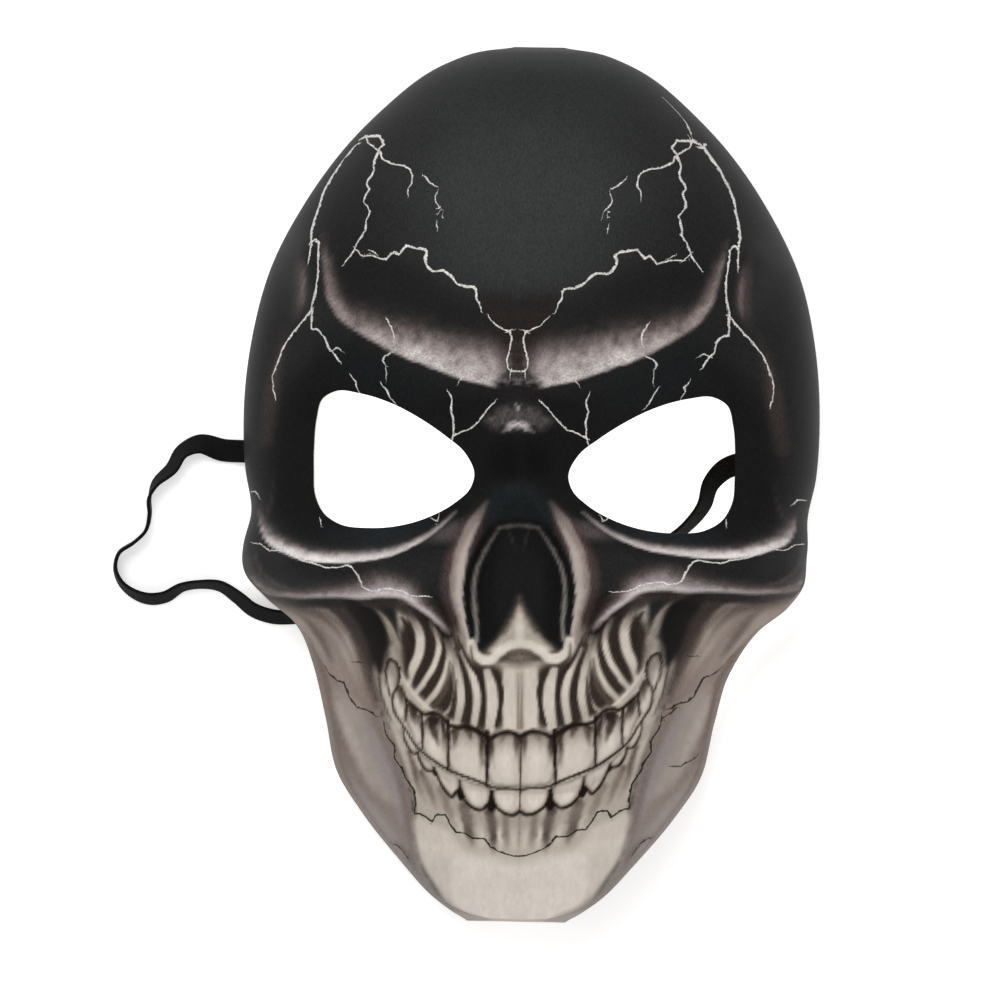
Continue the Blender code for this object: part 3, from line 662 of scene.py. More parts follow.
def cloud(x, y, size, seed, octaves=3):
    """Soft random blotches from about -1 to 1: values on a lattice, blended by smoothsteps between its
    corners, and summed over octaves of half the size and half the strength each."""
    total, strength = np.zeros_like(x), 0.0
    for octave in range(octaves):
        lattice = np.random.default_rng(seed + octave).uniform(-1.0, 1.0, (LATTICE, LATTICE))
        across, down = (np.asarray(size) if np.ndim(size) else np.full(2, size)) / 2.0 ** octave
        u, v = x / across + LATTICE_SLIP[0] * octave, y / down + LATTICE_SLIP[1] * octave
        left, top = np.floor(u).astype(int), np.floor(v).astype(int)
        a, b = smoothstep(0.0, 1.0, u - left), smoothstep(0.0, 1.0, v - top)
        corner = [lattice[(top + dy) % LATTICE, (left + dx) % LATTICE] for dy in (0, 1) for dx in (0, 1)]
        upper = corner[0] * (1.0 - a) + corner[1] * a
        lower = corner[2] * (1.0 - a) + corner[3] * a
        total += (upper * (1.0 - b) + lower * b) * 0.5 ** octave
        strength += 0.5 ** octave
    return CLOUD_GAIN * total / strength


def nearest_run(x, y, line):
    """Distance to a line of straight runs, and how far along it the nearest place lies, counted in runs."""
    nearest, along = np.full(x.shape, np.inf), np.zeros(x.shape)
    for index, ((ax, ay), (bx, by)) in enumerate(zip(line[:-1], line[1:])):
        run_x, run_y = bx - ax, by - ay
        share = np.clip(((x - ax) * run_x + (y - ay) * run_y) / (run_x ** 2 + run_y ** 2 + 1e-12), 0.0, 1.0)
        away = np.hypot(x - ax - share * run_x, y - ay - share * run_y)
        closer = away < nearest
        nearest, along = np.where(closer, away, nearest), np.where(closer, index + share, along)
    return nearest, along


def stroke(x, y, points, widths, soft, strengths=(1.0,)):
    """Cover of a brush stroke along a smooth curve: 1 - smoothstep(w - soft, w + soft, d), times the local
    strength, with d the distance to the curve and w its half width there."""
    points = np.asarray(points, dtype=float)
    stations = np.linspace(0.0, len(points) - 1, CURVE_STEPS * (len(points) - 1) + 1)
    line = curve_through(points, stations) if len(points) > 2 else points
    reach = max(widths) + soft
    low, high = line.min(axis=0) - reach, line.max(axis=0) + reach
    near = (x > low[0]) & (x < high[0]) & (y > low[1]) & (y < high[1])
    cover = np.zeros_like(x)
    if near.any():
        away, along = nearest_run(x[near], y[near], line)
        share = along / (len(line) - 1)
        width = np.interp(share, np.linspace(0.0, 1.0, len(widths)), widths)
        strength = np.interp(share, np.linspace(0.0, 1.0, len(strengths)), strengths)
        cover[near] = (1.0 - smoothstep(width - soft, width + soft, away)) * strength
    return cover


def area(x, y, points, soft, smooth=True):
    """Cover of a closed area: smoothstep(-soft, soft, s), s the distance inside its outline, by the nearest
    run and an even-odd count of the runs that a ray to the right crosses."""
    points = np.asarray(points, dtype=float)
    if smooth:
        stations = np.linspace(0.0, len(points), CURVE_STEPS * len(points), endpoint=False)
        points = curve_through(points, stations, True)
    line = np.vstack([points, points[:1]])
    low, high = line.min(axis=0) - soft, line.max(axis=0) + soft
    near = (x > low[0]) & (x < high[0]) & (y > low[1]) & (y < high[1])
    cover = np.zeros_like(x)
    if near.any():
        px, py = x[near], y[near]
        away, _ = nearest_run(px, py, line)
        inside = np.zeros(px.shape, dtype=bool)
        for (ax, ay), (bx, by) in zip(line[:-1], line[1:]):
            if ay != by:
                spans = (ay > py) != (by > py)
                inside ^= spans & (px < ax + (py - ay) * (bx - ax) / (by - ay))
        cover[near] = smoothstep(-soft, soft, np.where(inside, away, -away))
    return cover


def shelf(x, y, edge, heights, soft, strengths):
    """Cover of a highlight that ends at an edge below and fades upwards: smoothstep(-soft, soft, d) times
    1 - smoothstep(0.15h, h, d), times the local strength, with d the height over the edge's curve and h
    the highlight's height there."""
    edge = np.asarray(edge, dtype=float)
    line = curve_through(edge, np.linspace(0.0, len(edge) - 1, CURVE_STEPS * (len(edge) - 1) + 1))
    reach = max(heights)
    low, high = line.min(axis=0) - reach, line.max(axis=0) + soft
    near = (x > low[0]) & (x < high[0] + reach) & (y > low[1]) & (y < high[1])
    cover = np.zeros_like(x)
    if near.any():
        away, along = nearest_run(x[near], y[near], line)
        run = np.clip(along.astype(int), 0, len(line) - 2)
        step = line[run + 1] - line[run]
        above = np.sign(step[:, 1] * (x[near] - line[run, 0]) - step[:, 0] * (y[near] - line[run, 1])) * away
        share = along / (len(line) - 1)
        height = np.interp(share, np.linspace(0.0, 1.0, len(heights)), heights)
        strength = np.interp(share, np.linspace(0.0, 1.0, len(strengths)), strengths)
        fading = 1.0 - smoothstep(SHELF_CREST * height, height, above)
        cover[near] = smoothstep(-soft, soft, above) * fading * strength
    return cover


def paint(canvas, hex_colour, cover):
    """Lays a colour over the canvas with a cover from 0 to 1."""
    canvas += (rgb(hex_colour) - canvas) * np.clip(cover, 0.0, 1.0)[:, None]


# The print's left half, in artwork units. An area has colour, softness, strength and outline; a stroke
# colour, half widths, softness and strengths along it, and its line.
# The jaw: brown bone beside the wall, paler towards the teeth
JAW_AREAS = (
    ("#7f7169", 3.0, 1.0, ((170, 600), (220, 600), (270, 600), (300, 604), (330, 610), (347, 628), (360, 648),
                           (368, 672), (378, 702), (392, 735), (404, 770), (413, 800), (415, 835), (419, 860),
                           (432, 888), (455, 925), (480, 1060), (300, 1060), (150, 800), (170, 598))),
    ("#94877f", 9.0, 0.8, ((286, 616), (312, 622), (334, 642), (346, 668), (352, 690), (335, 690), (312, 664),
                           (296, 645))),
    ("#6d5c53", 9.0, 0.85, ((300, 655), (326, 672), (336, 700), (344, 748), (346, 800), (326, 775),
                            (308, 700))),
    ("#a0968e", 9.0, 0.85, ((338, 690), (356, 702), (372, 730), (392, 772), (400, 806), (384, 800),
                            (358, 760), (342, 722))),
    ("#857b77", 10.0, 0.75, ((338, 775), (372, 800), (402, 830), (420, 870), (440, 920), (400, 900),
                             (350, 830))),
)
# Lights and darks that run down the jaw from under the cheekbone
JAW_STREAKS = (
    ("#b3a9a1", (2, 5, 3), 4.0, (0.0, 0.75, 0.2), ((326, 676), (340, 712), (356, 750), (374, 790))),
    ("#aea39a", (1.5, 3, 2), 3.0, (0.1, 0.8, 0.2), ((294, 612), (312, 630), (324, 652), (330, 672))),
    ("#a99f97", (2, 4, 2), 4.0, (0.1, 0.8, 0.2), ((318, 618), (338, 640), (352, 668), (362, 694))),
    ("#6d6059", (2, 4, 3), 4.0, (0.2, 0.7, 0.3), ((300, 612), (316, 628), (326, 648), (330, 668))),
    ("#463b36", (3, 4.5, 4.5, 3), 4.0, (0.5, 0.75, 0.6, 0.2),
     ((268, 602), (300, 608), (324, 616), (342, 632))),
    ("#5a4d46", (1.5, 3, 2), 2.5, (0.4, 0.8, 0.3), ((282, 604), (306, 620), (322, 642), (332, 660))),
    ("#b0a59c", (1, 2, 1), 2.0, (0.2, 0.7, 0.2), ((322, 612), (342, 632), (354, 656), (362, 680))),
    ("#4a3f39", (2, 4, 3), 3.0, (0.4, 0.9, 0.4),
     ((334, 610), (352, 632), (362, 656), (370, 686), (376, 706))),
    ("#8b8283", (4, 7, 5), 6.0, (0.1, 0.8, 0.5), ((352, 700), (372, 740), (390, 780), (402, 820))),
    ("#6d6362", (2, 4, 3), 4.0, (0.3, 0.75, 0.5),
     ((374, 720), (388, 752), (401, 785), (408, 820), (414, 856))),
    ("#a39992", (2, 5, 3), 5.0, (0.1, 0.6, 0.3), ((336, 748), (358, 792), (386, 832), (408, 866))),
    ("#766b68", (2, 5, 4), 5.0, (0.2, 0.6, 0.4), ((330, 735), (350, 786), (380, 830), (404, 862))),
    ("#5a4f4c", (1.5, 3, 2), 3.0, (0.2, 0.7, 0.4),
     ((386, 840), (400, 846), (410, 860), (418, 880), (432, 902))),
    ("#6b5f59", (3, 5, 5), 5.0, (0.7, 0.7, 0.6),
     ((300, 640), (310, 690), (320, 740), (334, 780), (370, 828), (420, 892))),
)
# The pale field that the teeth and bars stand in, and the chin, with painted shade along its left edge and on
# the wall under it
BONE_AREAS = (
    ("#aba196", 4.0, 1.0, ((384, 650), (396, 640), (400, 600), (420, 596), (452, 620), (474, 650), (520, 652),
                           (560, 652), (560, 1060), (490, 1060), (440, 890), (421, 862), (416, 835),
                           (414, 800), (404, 768), (392, 735), (380, 700), (374, 672))),
    ("#d0c7be", 9.0, 1.0, ((420, 838), (440, 846), (470, 853), (520, 862), (600, 860), (600, 1060),
                           (500, 1060), (456, 908), (436, 884))),
    ("#bdb3a9", 6.0, 0.7, ((428, 846), (446, 852), (452, 876), (446, 898), (434, 880))),
    ("#c6bcb2", 5.0, 0.85, ((416, 818), (430, 822), (450, 832), (462, 852), (428, 856))),
    # painted shade: darker along the chin's left edge where the sheet turns back, and a shaded copy of the
    # chin's colour on the wall under it
    ("#7b716b", 5.0, 0.9, ((404, 858), (422, 876), (438, 894), (458, 910), (482, 921), (470, 1000),
                           (420, 1000), (370, 920))),
    ("#a1978e", 9.0, 0.7, ((458, 921), (486, 925), (540, 927), (560, 1080), (440, 1080))),
)
# The dark ground behind the bars of the upper jaw
MAXILLA_SHADE = (
    ("#2b231f", 5.0, 0.95, ((400, 632), (418, 612), (440, 612), (458, 640), (474, 662), (500, 668),
                            (500, 728), (470, 728), (440, 712), (414, 690), (404, 672))),
    ("#15110f", 7.0, 0.95, ((398, 600), (425, 596), (447, 606), (456, 632), (446, 640), (430, 626),
                            (408, 616))),
)
# Pale bars of the upper jaw, from beside the nose to the gum, and the dark slits between them
BARS = (
    ("#c3b9ae", (6, 7, 7, 6), 2.0, (0.9, 1.0, 1.0, 0.9), ((509, 672), (508.5, 690), (509, 710), (510, 732))),
    ("#c6bcb1", (3.5, 5.5, 6, 5), 1.6, (0.9, 1.0, 1.0, 0.9),
     ((487, 671), (491, 686), (492.5, 704), (490, 728))),
    ("#c3b9ae", (2.5, 3.5, 4, 3.5), 1.5, (0.6, 1.0, 1.0, 0.9),
     ((462, 652), (472, 674), (477, 696), (474, 724))),
    ("#bfb5a9", (2.5, 4, 4, 3.5), 1.5, (0.3, 0.9, 1.0, 0.8),
     ((451, 640), (458, 670), (461, 700), (457, 722))),
    ("#b5aa9e", (1.2, 1.8, 1.5), 1.2, (0.4, 0.9, 0.7), ((452, 668), (455, 690), (449, 710), (442, 716))),
    ("#c3b9ad", (2.5, 4, 4, 2.5), 1.5, (0.2, 1.0, 1.0, 0.8),
     ((445, 640), (449, 662), (442, 684), (424, 706))),
    ("#c6bcb1", (2.0, 3.2, 3.5, 2.5), 1.4, (0.2, 1.0, 1.0, 0.8),
     ((430, 622), (439, 642), (436, 662), (426, 680), (415, 694))),
    ("#c8beb3", (3.0, 5, 5, 2.5), 1.6, (0.2, 1.0, 1.0, 0.8),
     ((409, 612), (419, 632), (419, 652), (412, 670), (409, 684))),
)
BAR_SHADES = (
    ("#2b2320", (0.8, 2.4, 1.6), 1.0, (0.8, 1.0, 0.9), ((493, 669), (500.5, 684), (501.5, 700), (496, 726))),
    ("#2b2320", (0.8, 2.6, 1.2), 1.0, (0.8, 1.0, 0.9),
     ((457, 636), (470, 664), (480, 678), (484, 700), (483, 718))),
    ("#2f2723", (1.0, 2.4, 2.2), 1.2, (0.8, 0.95, 0.9), ((455, 648), (464, 674), (468, 700), (467, 724))),
    ("#332b26", (0.8, 2.0, 1.4), 1.2, (0.6, 0.95, 0.8), ((456.5, 680), (454, 700), (450, 716))),
    ("#4b4139", (1.2, 3.6, 2.5), 2.0, (0.7, 0.95, 0.8), ((450, 662), (448, 680), (440, 698), (431, 710))),
    ("#332b26", (1.2, 3.0, 2.0), 1.2, (0.8, 1.0, 0.8), ((440, 634), (444, 650), (439, 668), (428, 684))),
    ("#2d2521", (1.2, 2.8, 1.6), 1.2, (0.9, 1.0, 0.8), ((425, 626), (430, 644), (426, 662), (418, 680))),
    ("#2a2320", (1.5, 4.0, 3.0, 1.5), 1.8, (0.9, 0.95, 0.8, 0.5),
     ((402, 618), (411, 634), (411, 652), (406, 668), (408, 678))),
    ("#6b5f55", (0.8, 1.0, 1.2), 1.2, (0.3, 0.7, 0.8), ((518.5, 674), (518.5, 695), (518.5, 728))),
)
# The ridge over the tooth tops, and the streaks beside the jaw's corner
MAXILLA_EDGES = (
    ("#c9bfb4", (1.0, 1.6, 1.6, 1.2), 1.2, (0.6, 0.95, 0.95, 0.7),
     ((400, 672), (407, 684), (416, 696), (426, 706), (436, 714), (452, 722))),
    ("#8f857b", (2, 5, 4), 4.0, (0.4, 0.8, 0.5), ((378, 612), (392, 632), (398, 654), (400, 668))),
    ("#a2978c", (1.5, 3, 2), 2.5, (0.3, 0.8, 0.4), ((364, 604), (380, 614), (394, 634), (400, 648))),
    ("#94897f", (1.0, 2.0, 1.5), 1.5, (0.5, 0.9, 0.7), ((368, 608), (384, 622), (392, 640))),
    ("#2a2421", (0.8, 1.6, 0.8), 1.2, (0.6, 0.9, 0.5), ((374, 606), (390, 618), (399, 640))),
    ("#8b8178", (1.5, 3.5, 3), 2.5, (0.5, 0.9, 0.6), ((381, 640), (377, 662), (379, 690), (388, 716))),
    ("#b5aba1", (1.2, 2.6, 2.2), 1.8, (0.4, 0.9, 0.7), ((385, 652), (383, 676), (388, 702), (398, 728))),
    ("#352c28", (0.7, 1.2, 0.8), 1.0, (0.4, 0.8, 0.4), ((381, 650), (379, 676), (383, 700), (392, 722))),
    ("#5c5049", (1.5, 2.5, 1.5), 2.0, (0.4, 0.7, 0.3), ((371, 668), (377, 690), (386, 714))),
)
# The black hollow behind the upper jaw, and its soft brown edge
HOLLOW = ("#14110f", 3.5, 1.0, ((344, 601), (358, 602), (373, 608), (384, 623), (387, 640), (385, 656),
                                (380, 673), (374, 664), (368, 645), (360, 627), (349, 611)))
HOLLOW_EDGE = ("#3a302a", 5.0, 0.8, ((328, 600), (350, 602), (376, 606), (388, 622), (390, 650), (382, 686),
                                     (374, 676), (362, 650), (348, 624)))
# Outlines of the teeth, from the middle outwards
UPPER_TEETH = (
    ((489, 739), (500, 734), (512, 733.5), (519.3, 738), (520, 760), (519.6, 786), (506, 786), (492, 784),
     (487.5, 774), (487.5, 754)),
    ((450, 731), (462, 727), (478, 732), (485, 742), (486.2, 762), (485.5, 783), (471, 779.5), (456, 773),
     (449, 765), (447.8, 746)),
    ((424, 723), (430, 716), (440, 717.5), (446, 732), (447.2, 750), (446.5, 768), (436, 762), (426, 754),
     (422, 745), (422.6, 733)),
    ((406.8, 705), (411, 703.5), (417.5, 713.5), (421.5, 727), (422.2, 742), (417.5, 745), (411.5, 733),
     (406.4, 721)),
    ((392.5, 699), (396, 689.5), (400.5, 685.5), (404.6, 692), (406.8, 705), (405.4, 716), (401, 721),
     (395.6, 713)),
    ((386, 668), (389, 660), (394.7, 661), (399, 670), (399.4, 681), (396, 690), (390.4, 695), (386.4, 685)),
)
LOWER_TEETH = (
    ((494, 790.5), (520, 790.5), (520.4, 808), (512, 814), (503, 812), (496, 804)),
    ((461, 779), (476, 784), (488.5, 787.5), (488, 802), (481.5, 808.5), (472, 806), (465.5, 797)),
    ((435, 765.5), (446, 771), (458, 777.5), (457, 791), (451, 795), (444, 788), (438.5, 778)),
    ((417, 749), (424, 757), (431.6, 763.5), (433, 770), (425.5, 768.5), (420.5, 760.5)),
    ((403, 726), (409.9, 735.5), (416, 746), (416.6, 752), (411, 750.5), (405.5, 741.5), (402.3, 733)),
)
# Dark roots and the shade that rounds a tooth's sides, and the lights on the teeth
TOOTH_SHADES = (
    ("#2f2621", (3.5, 3.0, 1.4), 2.5, (0.95, 0.8, 0.0), ((490, 736), (491, 750), (493, 768))),
    ("#3a302a", (2.5, 2.0, 1.0), 2.0, (0.9, 0.7, 0.0), ((516.5, 736), (516, 746), (516.5, 762))),
    ("#51453d", (6, 3, 1), 3.0, (0.8, 0.4, 0.0), ((502, 735), (502, 739), (502, 744))),
    ("#2f2621", (4, 3, 1.5), 2.5, (0.95, 0.8, 0.1), ((483, 734), (482, 748), (482, 770))),
    ("#3a302a", (4, 3, 1.5), 2.5, (0.9, 0.6, 0.0), ((455, 732), (455, 742), (453, 754))),
    ("#40352e", (6, 3, 1), 2.5, (0.85, 0.6, 0.0), ((470, 731), (470, 736), (470, 742))),
    ("#2a211d", (6, 5, 3, 1.2), 2.5, (1.0, 0.95, 0.7, 0.1), ((433, 718), (433, 726), (436, 736), (440, 748))),
    ("#2a211d", (3, 2.5, 1.5), 2.0, (0.9, 0.7, 0.1), ((443, 722), (444, 736), (444, 752))),
    ("#332924", (4, 3.5, 1.5), 2.5, (0.95, 0.8, 0.0), ((412, 706), (414, 716), (417, 728))),
    ("#40352e", (3.5, 3, 1.5), 2.5, (0.9, 0.7, 0.0), ((400, 688), (402, 698), (401, 708))),
)
TOOTH_LIGHTS = (
    ("#cfc6bb", (2, 5, 4), 4.0, (0.0, 0.8, 0.5), ((505, 748), (506, 762), (507, 778))),
    ("#cbc2b8", (2, 5, 4), 4.0, (0.0, 0.8, 0.5), ((466, 746), (467, 758), (468, 772))),
    ("#d6cdc3", (1.5, 3.5, 3), 3.0, (0.0, 0.8, 0.4), ((430, 738), (432, 746), (438, 756))),
    ("#d6cdc3", (3, 5), 3.0, (0.3, 0.7), ((507, 798), (508, 804))),
    ("#cfc6bb", (3, 4), 3.0, (0.3, 0.7), ((475, 793), (476, 799))),
)
# Drawn edges of the teeth, along the gum and where the rows meet: half widths, softness and line
TOOTH_LINES = (
    ((0.9, 1.1, 1.0), 1.0, ((520.6, 733), (520.8, 760), (520.6, 812))),
    ((2.2, 1.9, 1.2), 1.2, ((487, 732), (487.3, 752), (486.8, 786))),
    ((1.8, 1.4, 1.0), 1.1, ((447.5, 720), (448.4, 742), (447.8, 770))),
    ((1.4, 1.2, 0.8), 1.0, ((421.8, 714), (422.6, 730), (422.4, 750))),
    ((1.0, 1.1, 0.7), 1.0, ((406.6, 698), (406.2, 712), (405.6, 722))),
    ((0.7, 1.0, 0.7), 1.0, ((400, 668), (398.5, 684), (392.5, 697), (394.4, 712), (402, 724), (410, 736))),
    ((0.6, 1.0, 0.7), 0.9, ((390.5, 696), (386.2, 682), (386.3, 668), (390, 659), (396, 662), (400.2, 672))),
    ((1.2, 2.0, 1.6, 2.6, 1.8, 2.2), 1.6, ((407, 700), (416, 708), (425, 714.5), (433, 713), (441, 716),
                                           (448, 724), (456, 727), (468, 727), (481, 733), (488, 738),
                                           (496, 735), (508, 731.5), (515, 733.5), (520.5, 737))),
    ((0.8, 1.0, 1.2, 1.1, 0.9), 0.9, ((410, 737), (416, 746), (424, 753.5), (435, 761.5), (448, 769.5),
                                     (464, 776), (485, 784), (494, 787.5), (507, 788.5), (520, 789))),
    # round the lower teeth
    ((1.0, 1.5, 1.4), 1.2, ((489.5, 796), (496, 807), (505, 813.5), (513, 815.5), (520.5, 811))),
    ((1.0, 1.5, 1.2), 1.2, ((459, 790), (465, 800), (473, 808), (481.5, 810), (488, 804))),
    ((0.8, 1.3, 1.1), 1.1, ((434, 768), (439.5, 781), (445.5, 791), (451.5, 796.5), (458, 790))),
    ((0.8, 1.2, 1.0), 1.1, ((417, 752), (421, 763), (426, 770), (433, 771.5))),
    ((0.6, 0.9, 0.7), 1.0, ((402, 727), (404, 738), (409, 748.5), (414.5, 753.5), (418, 752))),
)
# The gum's height over the upper teeth, the dark gaps between the lower ones, and the lower gum's streaks
GUM_LINE = ((386, 655), (400, 684), (407, 700), (416, 708), (425, 714.5), (441, 716), (448, 724), (468, 727),
            (481, 733), (488, 738), (508, 731.5), (520.5, 737))
TOOTH_GAPS = (
    ((484.5, 790), (493, 790), (497, 806), (491, 812), (486, 806)),
    ((456, 778), (463, 782), (466, 796), (461, 801), (456, 792)),
    ((432, 766), (436, 768), (438, 777), (434, 775)),
)
ROOT_SHADES = (
    ("#3f352f", (5, 5.5, 4, 2), 3.0, (0.9, 0.85, 0.7, 0.1), ((464, 806), (467, 820), (470, 834), (474, 848))),
    ("#3a302a", (5, 5, 3.5, 2), 3.0, (0.95, 0.9, 0.75, 0.1),
     ((490, 812), (492, 826), (493.5, 840), (494, 854))),
    ("#5e534b", (4, 4, 2), 3.0, (0.85, 0.7, 0.1), ((440, 790), (447, 806), (453, 824))),
    ("#51463f", (2.5, 3.5, 2), 2.5, (0.8, 0.8, 0.1), ((421, 772), (430, 790), (436, 808))),
    ("#51463f", (2.0, 3.0, 2), 2.5, (0.8, 0.75, 0.1), ((409, 752), (416, 776), (424, 800))),
    ("#685d54", (3, 3.5, 2), 2.5, (0.7, 0.7, 0.1), ((505, 816), (506, 834), (507, 850))),
    ("#6d6259", (2, 2.5, 1.5), 2.0, (0.7, 0.6, 0.1), ((520.5, 814), (521, 834), (521, 850))),
    ("#d0c7bd", (2, 3.5, 2), 2.5, (0.1, 0.8, 0.3), ((478, 814), (480, 828), (483, 846))),
    ("#d0c7bd", (1.5, 2.5, 1.5), 2.0, (0.1, 0.8, 0.3), ((499, 818), (499.5, 832), (500, 848))),
    ("#cbc2b7", (1.5, 2.5, 1.5), 2.0, (0.1, 0.7, 0.3), ((513.5, 818), (514, 832), (514.5, 848))),
    ("#cbc2b7", (1.5, 3.0, 2), 2.0, (0.1, 0.7, 0.3), ((455, 804), (458, 818), (462, 836))),
    ("#bdb3a8", (1.5, 2.5, 1.5), 2.0, (0.1, 0.7, 0.3), ((434, 784), (440, 800), (446, 820))),
    ("#958a80", (9, 9, 8), 6.0, (0.55, 0.5, 0.3), ((428, 784), (470, 818), (520, 826))),
)
# The nose: the blue-black over it and its dark opening, and the bands round the opening
NOSE_AREAS = (
    ("#0f0f0f", 12.0, 0.85, ((492, 446), (518, 440), (544, 446), (546, 470), (518, 478), (490, 470))),
    ("#1c2022", 9.0, 0.85, ((492, 492), (518, 484), (544, 492), (552, 512), (540, 528), (498, 528),
                            (484, 514))),
    ("#171717", 3.0, 1.0, ((497, 522), (518, 517), (540, 522), (556, 548), (568, 588), (566, 620), (564, 646),
                           (473, 646), (468, 620), (465, 588), (478, 548))),
)
NOSE_BANDS = (
    ("#4d3d3a", (5, 10, 11, 10, 6, 4), 5.0, (0.2, 0.7, 0.85, 0.8, 0.6, 0.3),
     ((484, 504), (472, 528), (458, 556), (451, 588), (455, 616), (464, 645))),
    ("#8c7f79", (2, 5.5, 6.5, 6.5, 4.5, 3.5), 2.2, (0.3, 0.85, 1.0, 1.0, 1.0, 0.9),
     ((487, 502), (478, 516), (466, 538), (459.5, 560), (456, 588), (459, 606), (464, 630), (467, 644))),
    ("#b3a8a1", (1, 3.0, 4.2, 4.2, 2.6, 2), 2.4, (0.0, 0.6, 0.85, 0.85, 0.85, 0.8),
     ((483, 514), (473, 531), (464.5, 550), (460.5, 572), (459.5, 592), (463, 614), (467, 634), (469, 644))),
    ("#141313", (1.0, 3.2, 3.6, 3.4, 2.4), 1.4, (0.5, 1.0, 1.0, 1.0, 1.0),
     ((492, 524), (479, 548), (470, 572), (466.5, 592), (468.5, 616), (471.5, 638))),
    ("#979089", (1.4, 1.9, 2.2, 2.2, 1.8), 2.0, (0.4, 0.65, 0.8, 0.85, 0.85),
     ((500, 528), (491, 541), (482, 557), (476.4, 572), (473.6, 588), (474.6, 608), (476.4, 624),
      (477.2, 641))),
    ("#615c59", (1.5, 2.4, 1.8), 2.0, (0.5, 0.75, 0.5), ((498, 528), (508, 526.5), (520, 525))),
    ("#3c3a39", (0.8, 1.2, 0.6), 1.2, (0.4, 0.6, 0.2), ((508, 530), (512, 540), (515, 551))),
)
# The pale spine that stands in the opening, and the sill under it
SPINE_AREAS = (
    ("#5b5048", 5.0, 0.9, ((519, 596), (526, 612), (534, 626), (545, 642), (556, 652), (519, 650), (482, 652),
                           (493, 642), (504, 626), (512, 612))),
    ("#b3a99d", 4.0, 0.95, ((519, 606), (524, 618), (531, 630), (542, 642), (550, 652), (519, 652),
                            (488, 652), (496, 642), (507, 630), (514, 618))),
)
SPINE_STROKES = (
    ("#cdc4b9", (4.5, 5.5, 5, 4.5, 5), 1.8, (0.9, 1.0, 1.0, 1.0, 1.0),
     ((471.5, 643), (474.4, 654.5), (482, 660.5), (491, 659), (501.2, 651), (511, 645), (520, 643.5))),
    ("#d3cbc1", (2, 3, 4), 2.5, (0.0, 0.8, 0.9), ((518.5, 612), (519, 628), (519.5, 640))),
    ("#544a41", (1.5, 3.5, 4.5, 5), 2.5, (0.2, 0.7, 0.9, 0.95),
     ((493, 668), (502, 660), (511, 655), (520, 653.5))),
    ("#7b7066", (2, 5, 7), 4.0, (0.2, 0.6, 0.8), ((500, 668), (510, 663), (520, 661))),
    ("#3b332d", (1, 2, 1.5), 1.5, (0.5, 0.9, 0.4), ((471, 646), (473, 660), (482, 667), (493, 667))),
)
# Highlights that end at an edge: the edge, and each one's colour, softness, heights and strengths along it
BROW_EDGE = ((320, 240), (323, 262), (328, 300), (342, 321), (363, 335), (384, 347), (404, 357), (425, 365),
             (445, 373), (478, 383), (500, 387), (514, 385))
BROW_SHELVES = (
    ("#3a3230", 4.0, (14, 22, 38, 54, 66, 72, 72, 60), (0.4, 0.85, 0.9, 0.9, 0.9, 0.85, 0.8, 0.4)),
    ("#70645f", 2.5, (10, 17, 28, 38, 48, 56, 64, 60), (0.2, 0.85, 0.95, 0.95, 0.95, 0.95, 0.9, 0.7)),
    ("#a59998", 2.0, (4, 9, 17, 28, 38, 45, 56, 54), (0.0, 0.4, 0.6, 0.8, 0.95, 0.95, 0.95, 0.75)),
    ("#cfc7c4", 2.0, (2, 4, 9, 18, 27, 31, 34, 30), (0.0, 0.0, 0.05, 0.5, 0.95, 0.95, 0.85, 0.5)),
)
ORBIT_EDGE = ((258, 512), (261, 530), (267, 542), (283, 552.5), (306, 560.5), (334, 563), (363, 561),
              (392, 555.5), (416.4, 544.5), (437, 531), (456, 513.5))
ORBIT_SHELVES = (
    ("#3d3534", 3.0, (8, 22, 22, 24, 24, 22, 18, 14, 9, 6),
     (0.5, 0.8, 0.8, 0.8, 0.8, 0.8, 0.8, 0.8, 0.7, 0.4)),
    ("#857a7a", 1.6, (4, 17, 19, 18, 18, 16, 13, 10, 7, 5),
     (0.3, 0.9, 0.95, 0.95, 0.95, 0.95, 0.95, 0.9, 0.9, 0.3)),
    ("#b7aeac", 1.4, (2, 8, 15, 15, 14, 13, 11, 8, 5.5, 4),
     (0.1, 0.7, 0.95, 1.0, 1.0, 1.0, 1.0, 0.9, 0.8, 0.2)),
    ("#dad3d1", 1.2, (1, 3, 9, 12, 12, 10, 7, 4, 3, 2), (0.0, 0.2, 0.8, 1.0, 1.0, 0.9, 0.6, 0.3, 0.1, 0.0)),
)
ORBIT_STROKES = (
    ("#5a5050", (3, 7, 9, 5), 6.0, (0.2, 0.7, 0.75, 0.2), ((424, 542), (440, 536), (455, 530), (470, 520))),
)
CHEEK_EDGE = ((256, 588), (264.6, 592.5), (282, 595.5), (301.5, 597.5), (338.5, 597), (363, 598.5),
              (383.6, 596.5), (404, 599), (420.5, 610), (437, 622), (449, 632))
CHEEK_SHELVES = (
    ("#463c39", 3.0, (4, 8, 10, 16, 24, 38, 40, 32, 20, 14, 8),
     (0.5, 0.8, 0.8, 0.85, 0.9, 0.9, 0.9, 0.9, 0.8, 0.7, 0.3)),
    ("#756b69", 2.5, (2, 4, 6, 9, 15, 28, 31, 24, 14, 10, 6),
     (0.3, 0.7, 0.8, 0.8, 0.95, 0.95, 0.95, 0.95, 0.8, 0.7, 0.2)),
    ("#a0969a", 3.0, (1, 2, 3, 5, 9, 20, 23, 17, 9, 6, 4),
     (0.1, 0.4, 0.5, 0.6, 0.85, 0.9, 0.9, 0.9, 0.8, 0.6, 0.1)),
    ("#c6bebb", 2.5, (1, 2, 2, 3, 5, 9, 11, 9, 6, 4, 3),
     (0.0, 0.2, 0.3, 0.4, 0.6, 0.8, 0.85, 0.8, 0.6, 0.5, 0.1)),
)
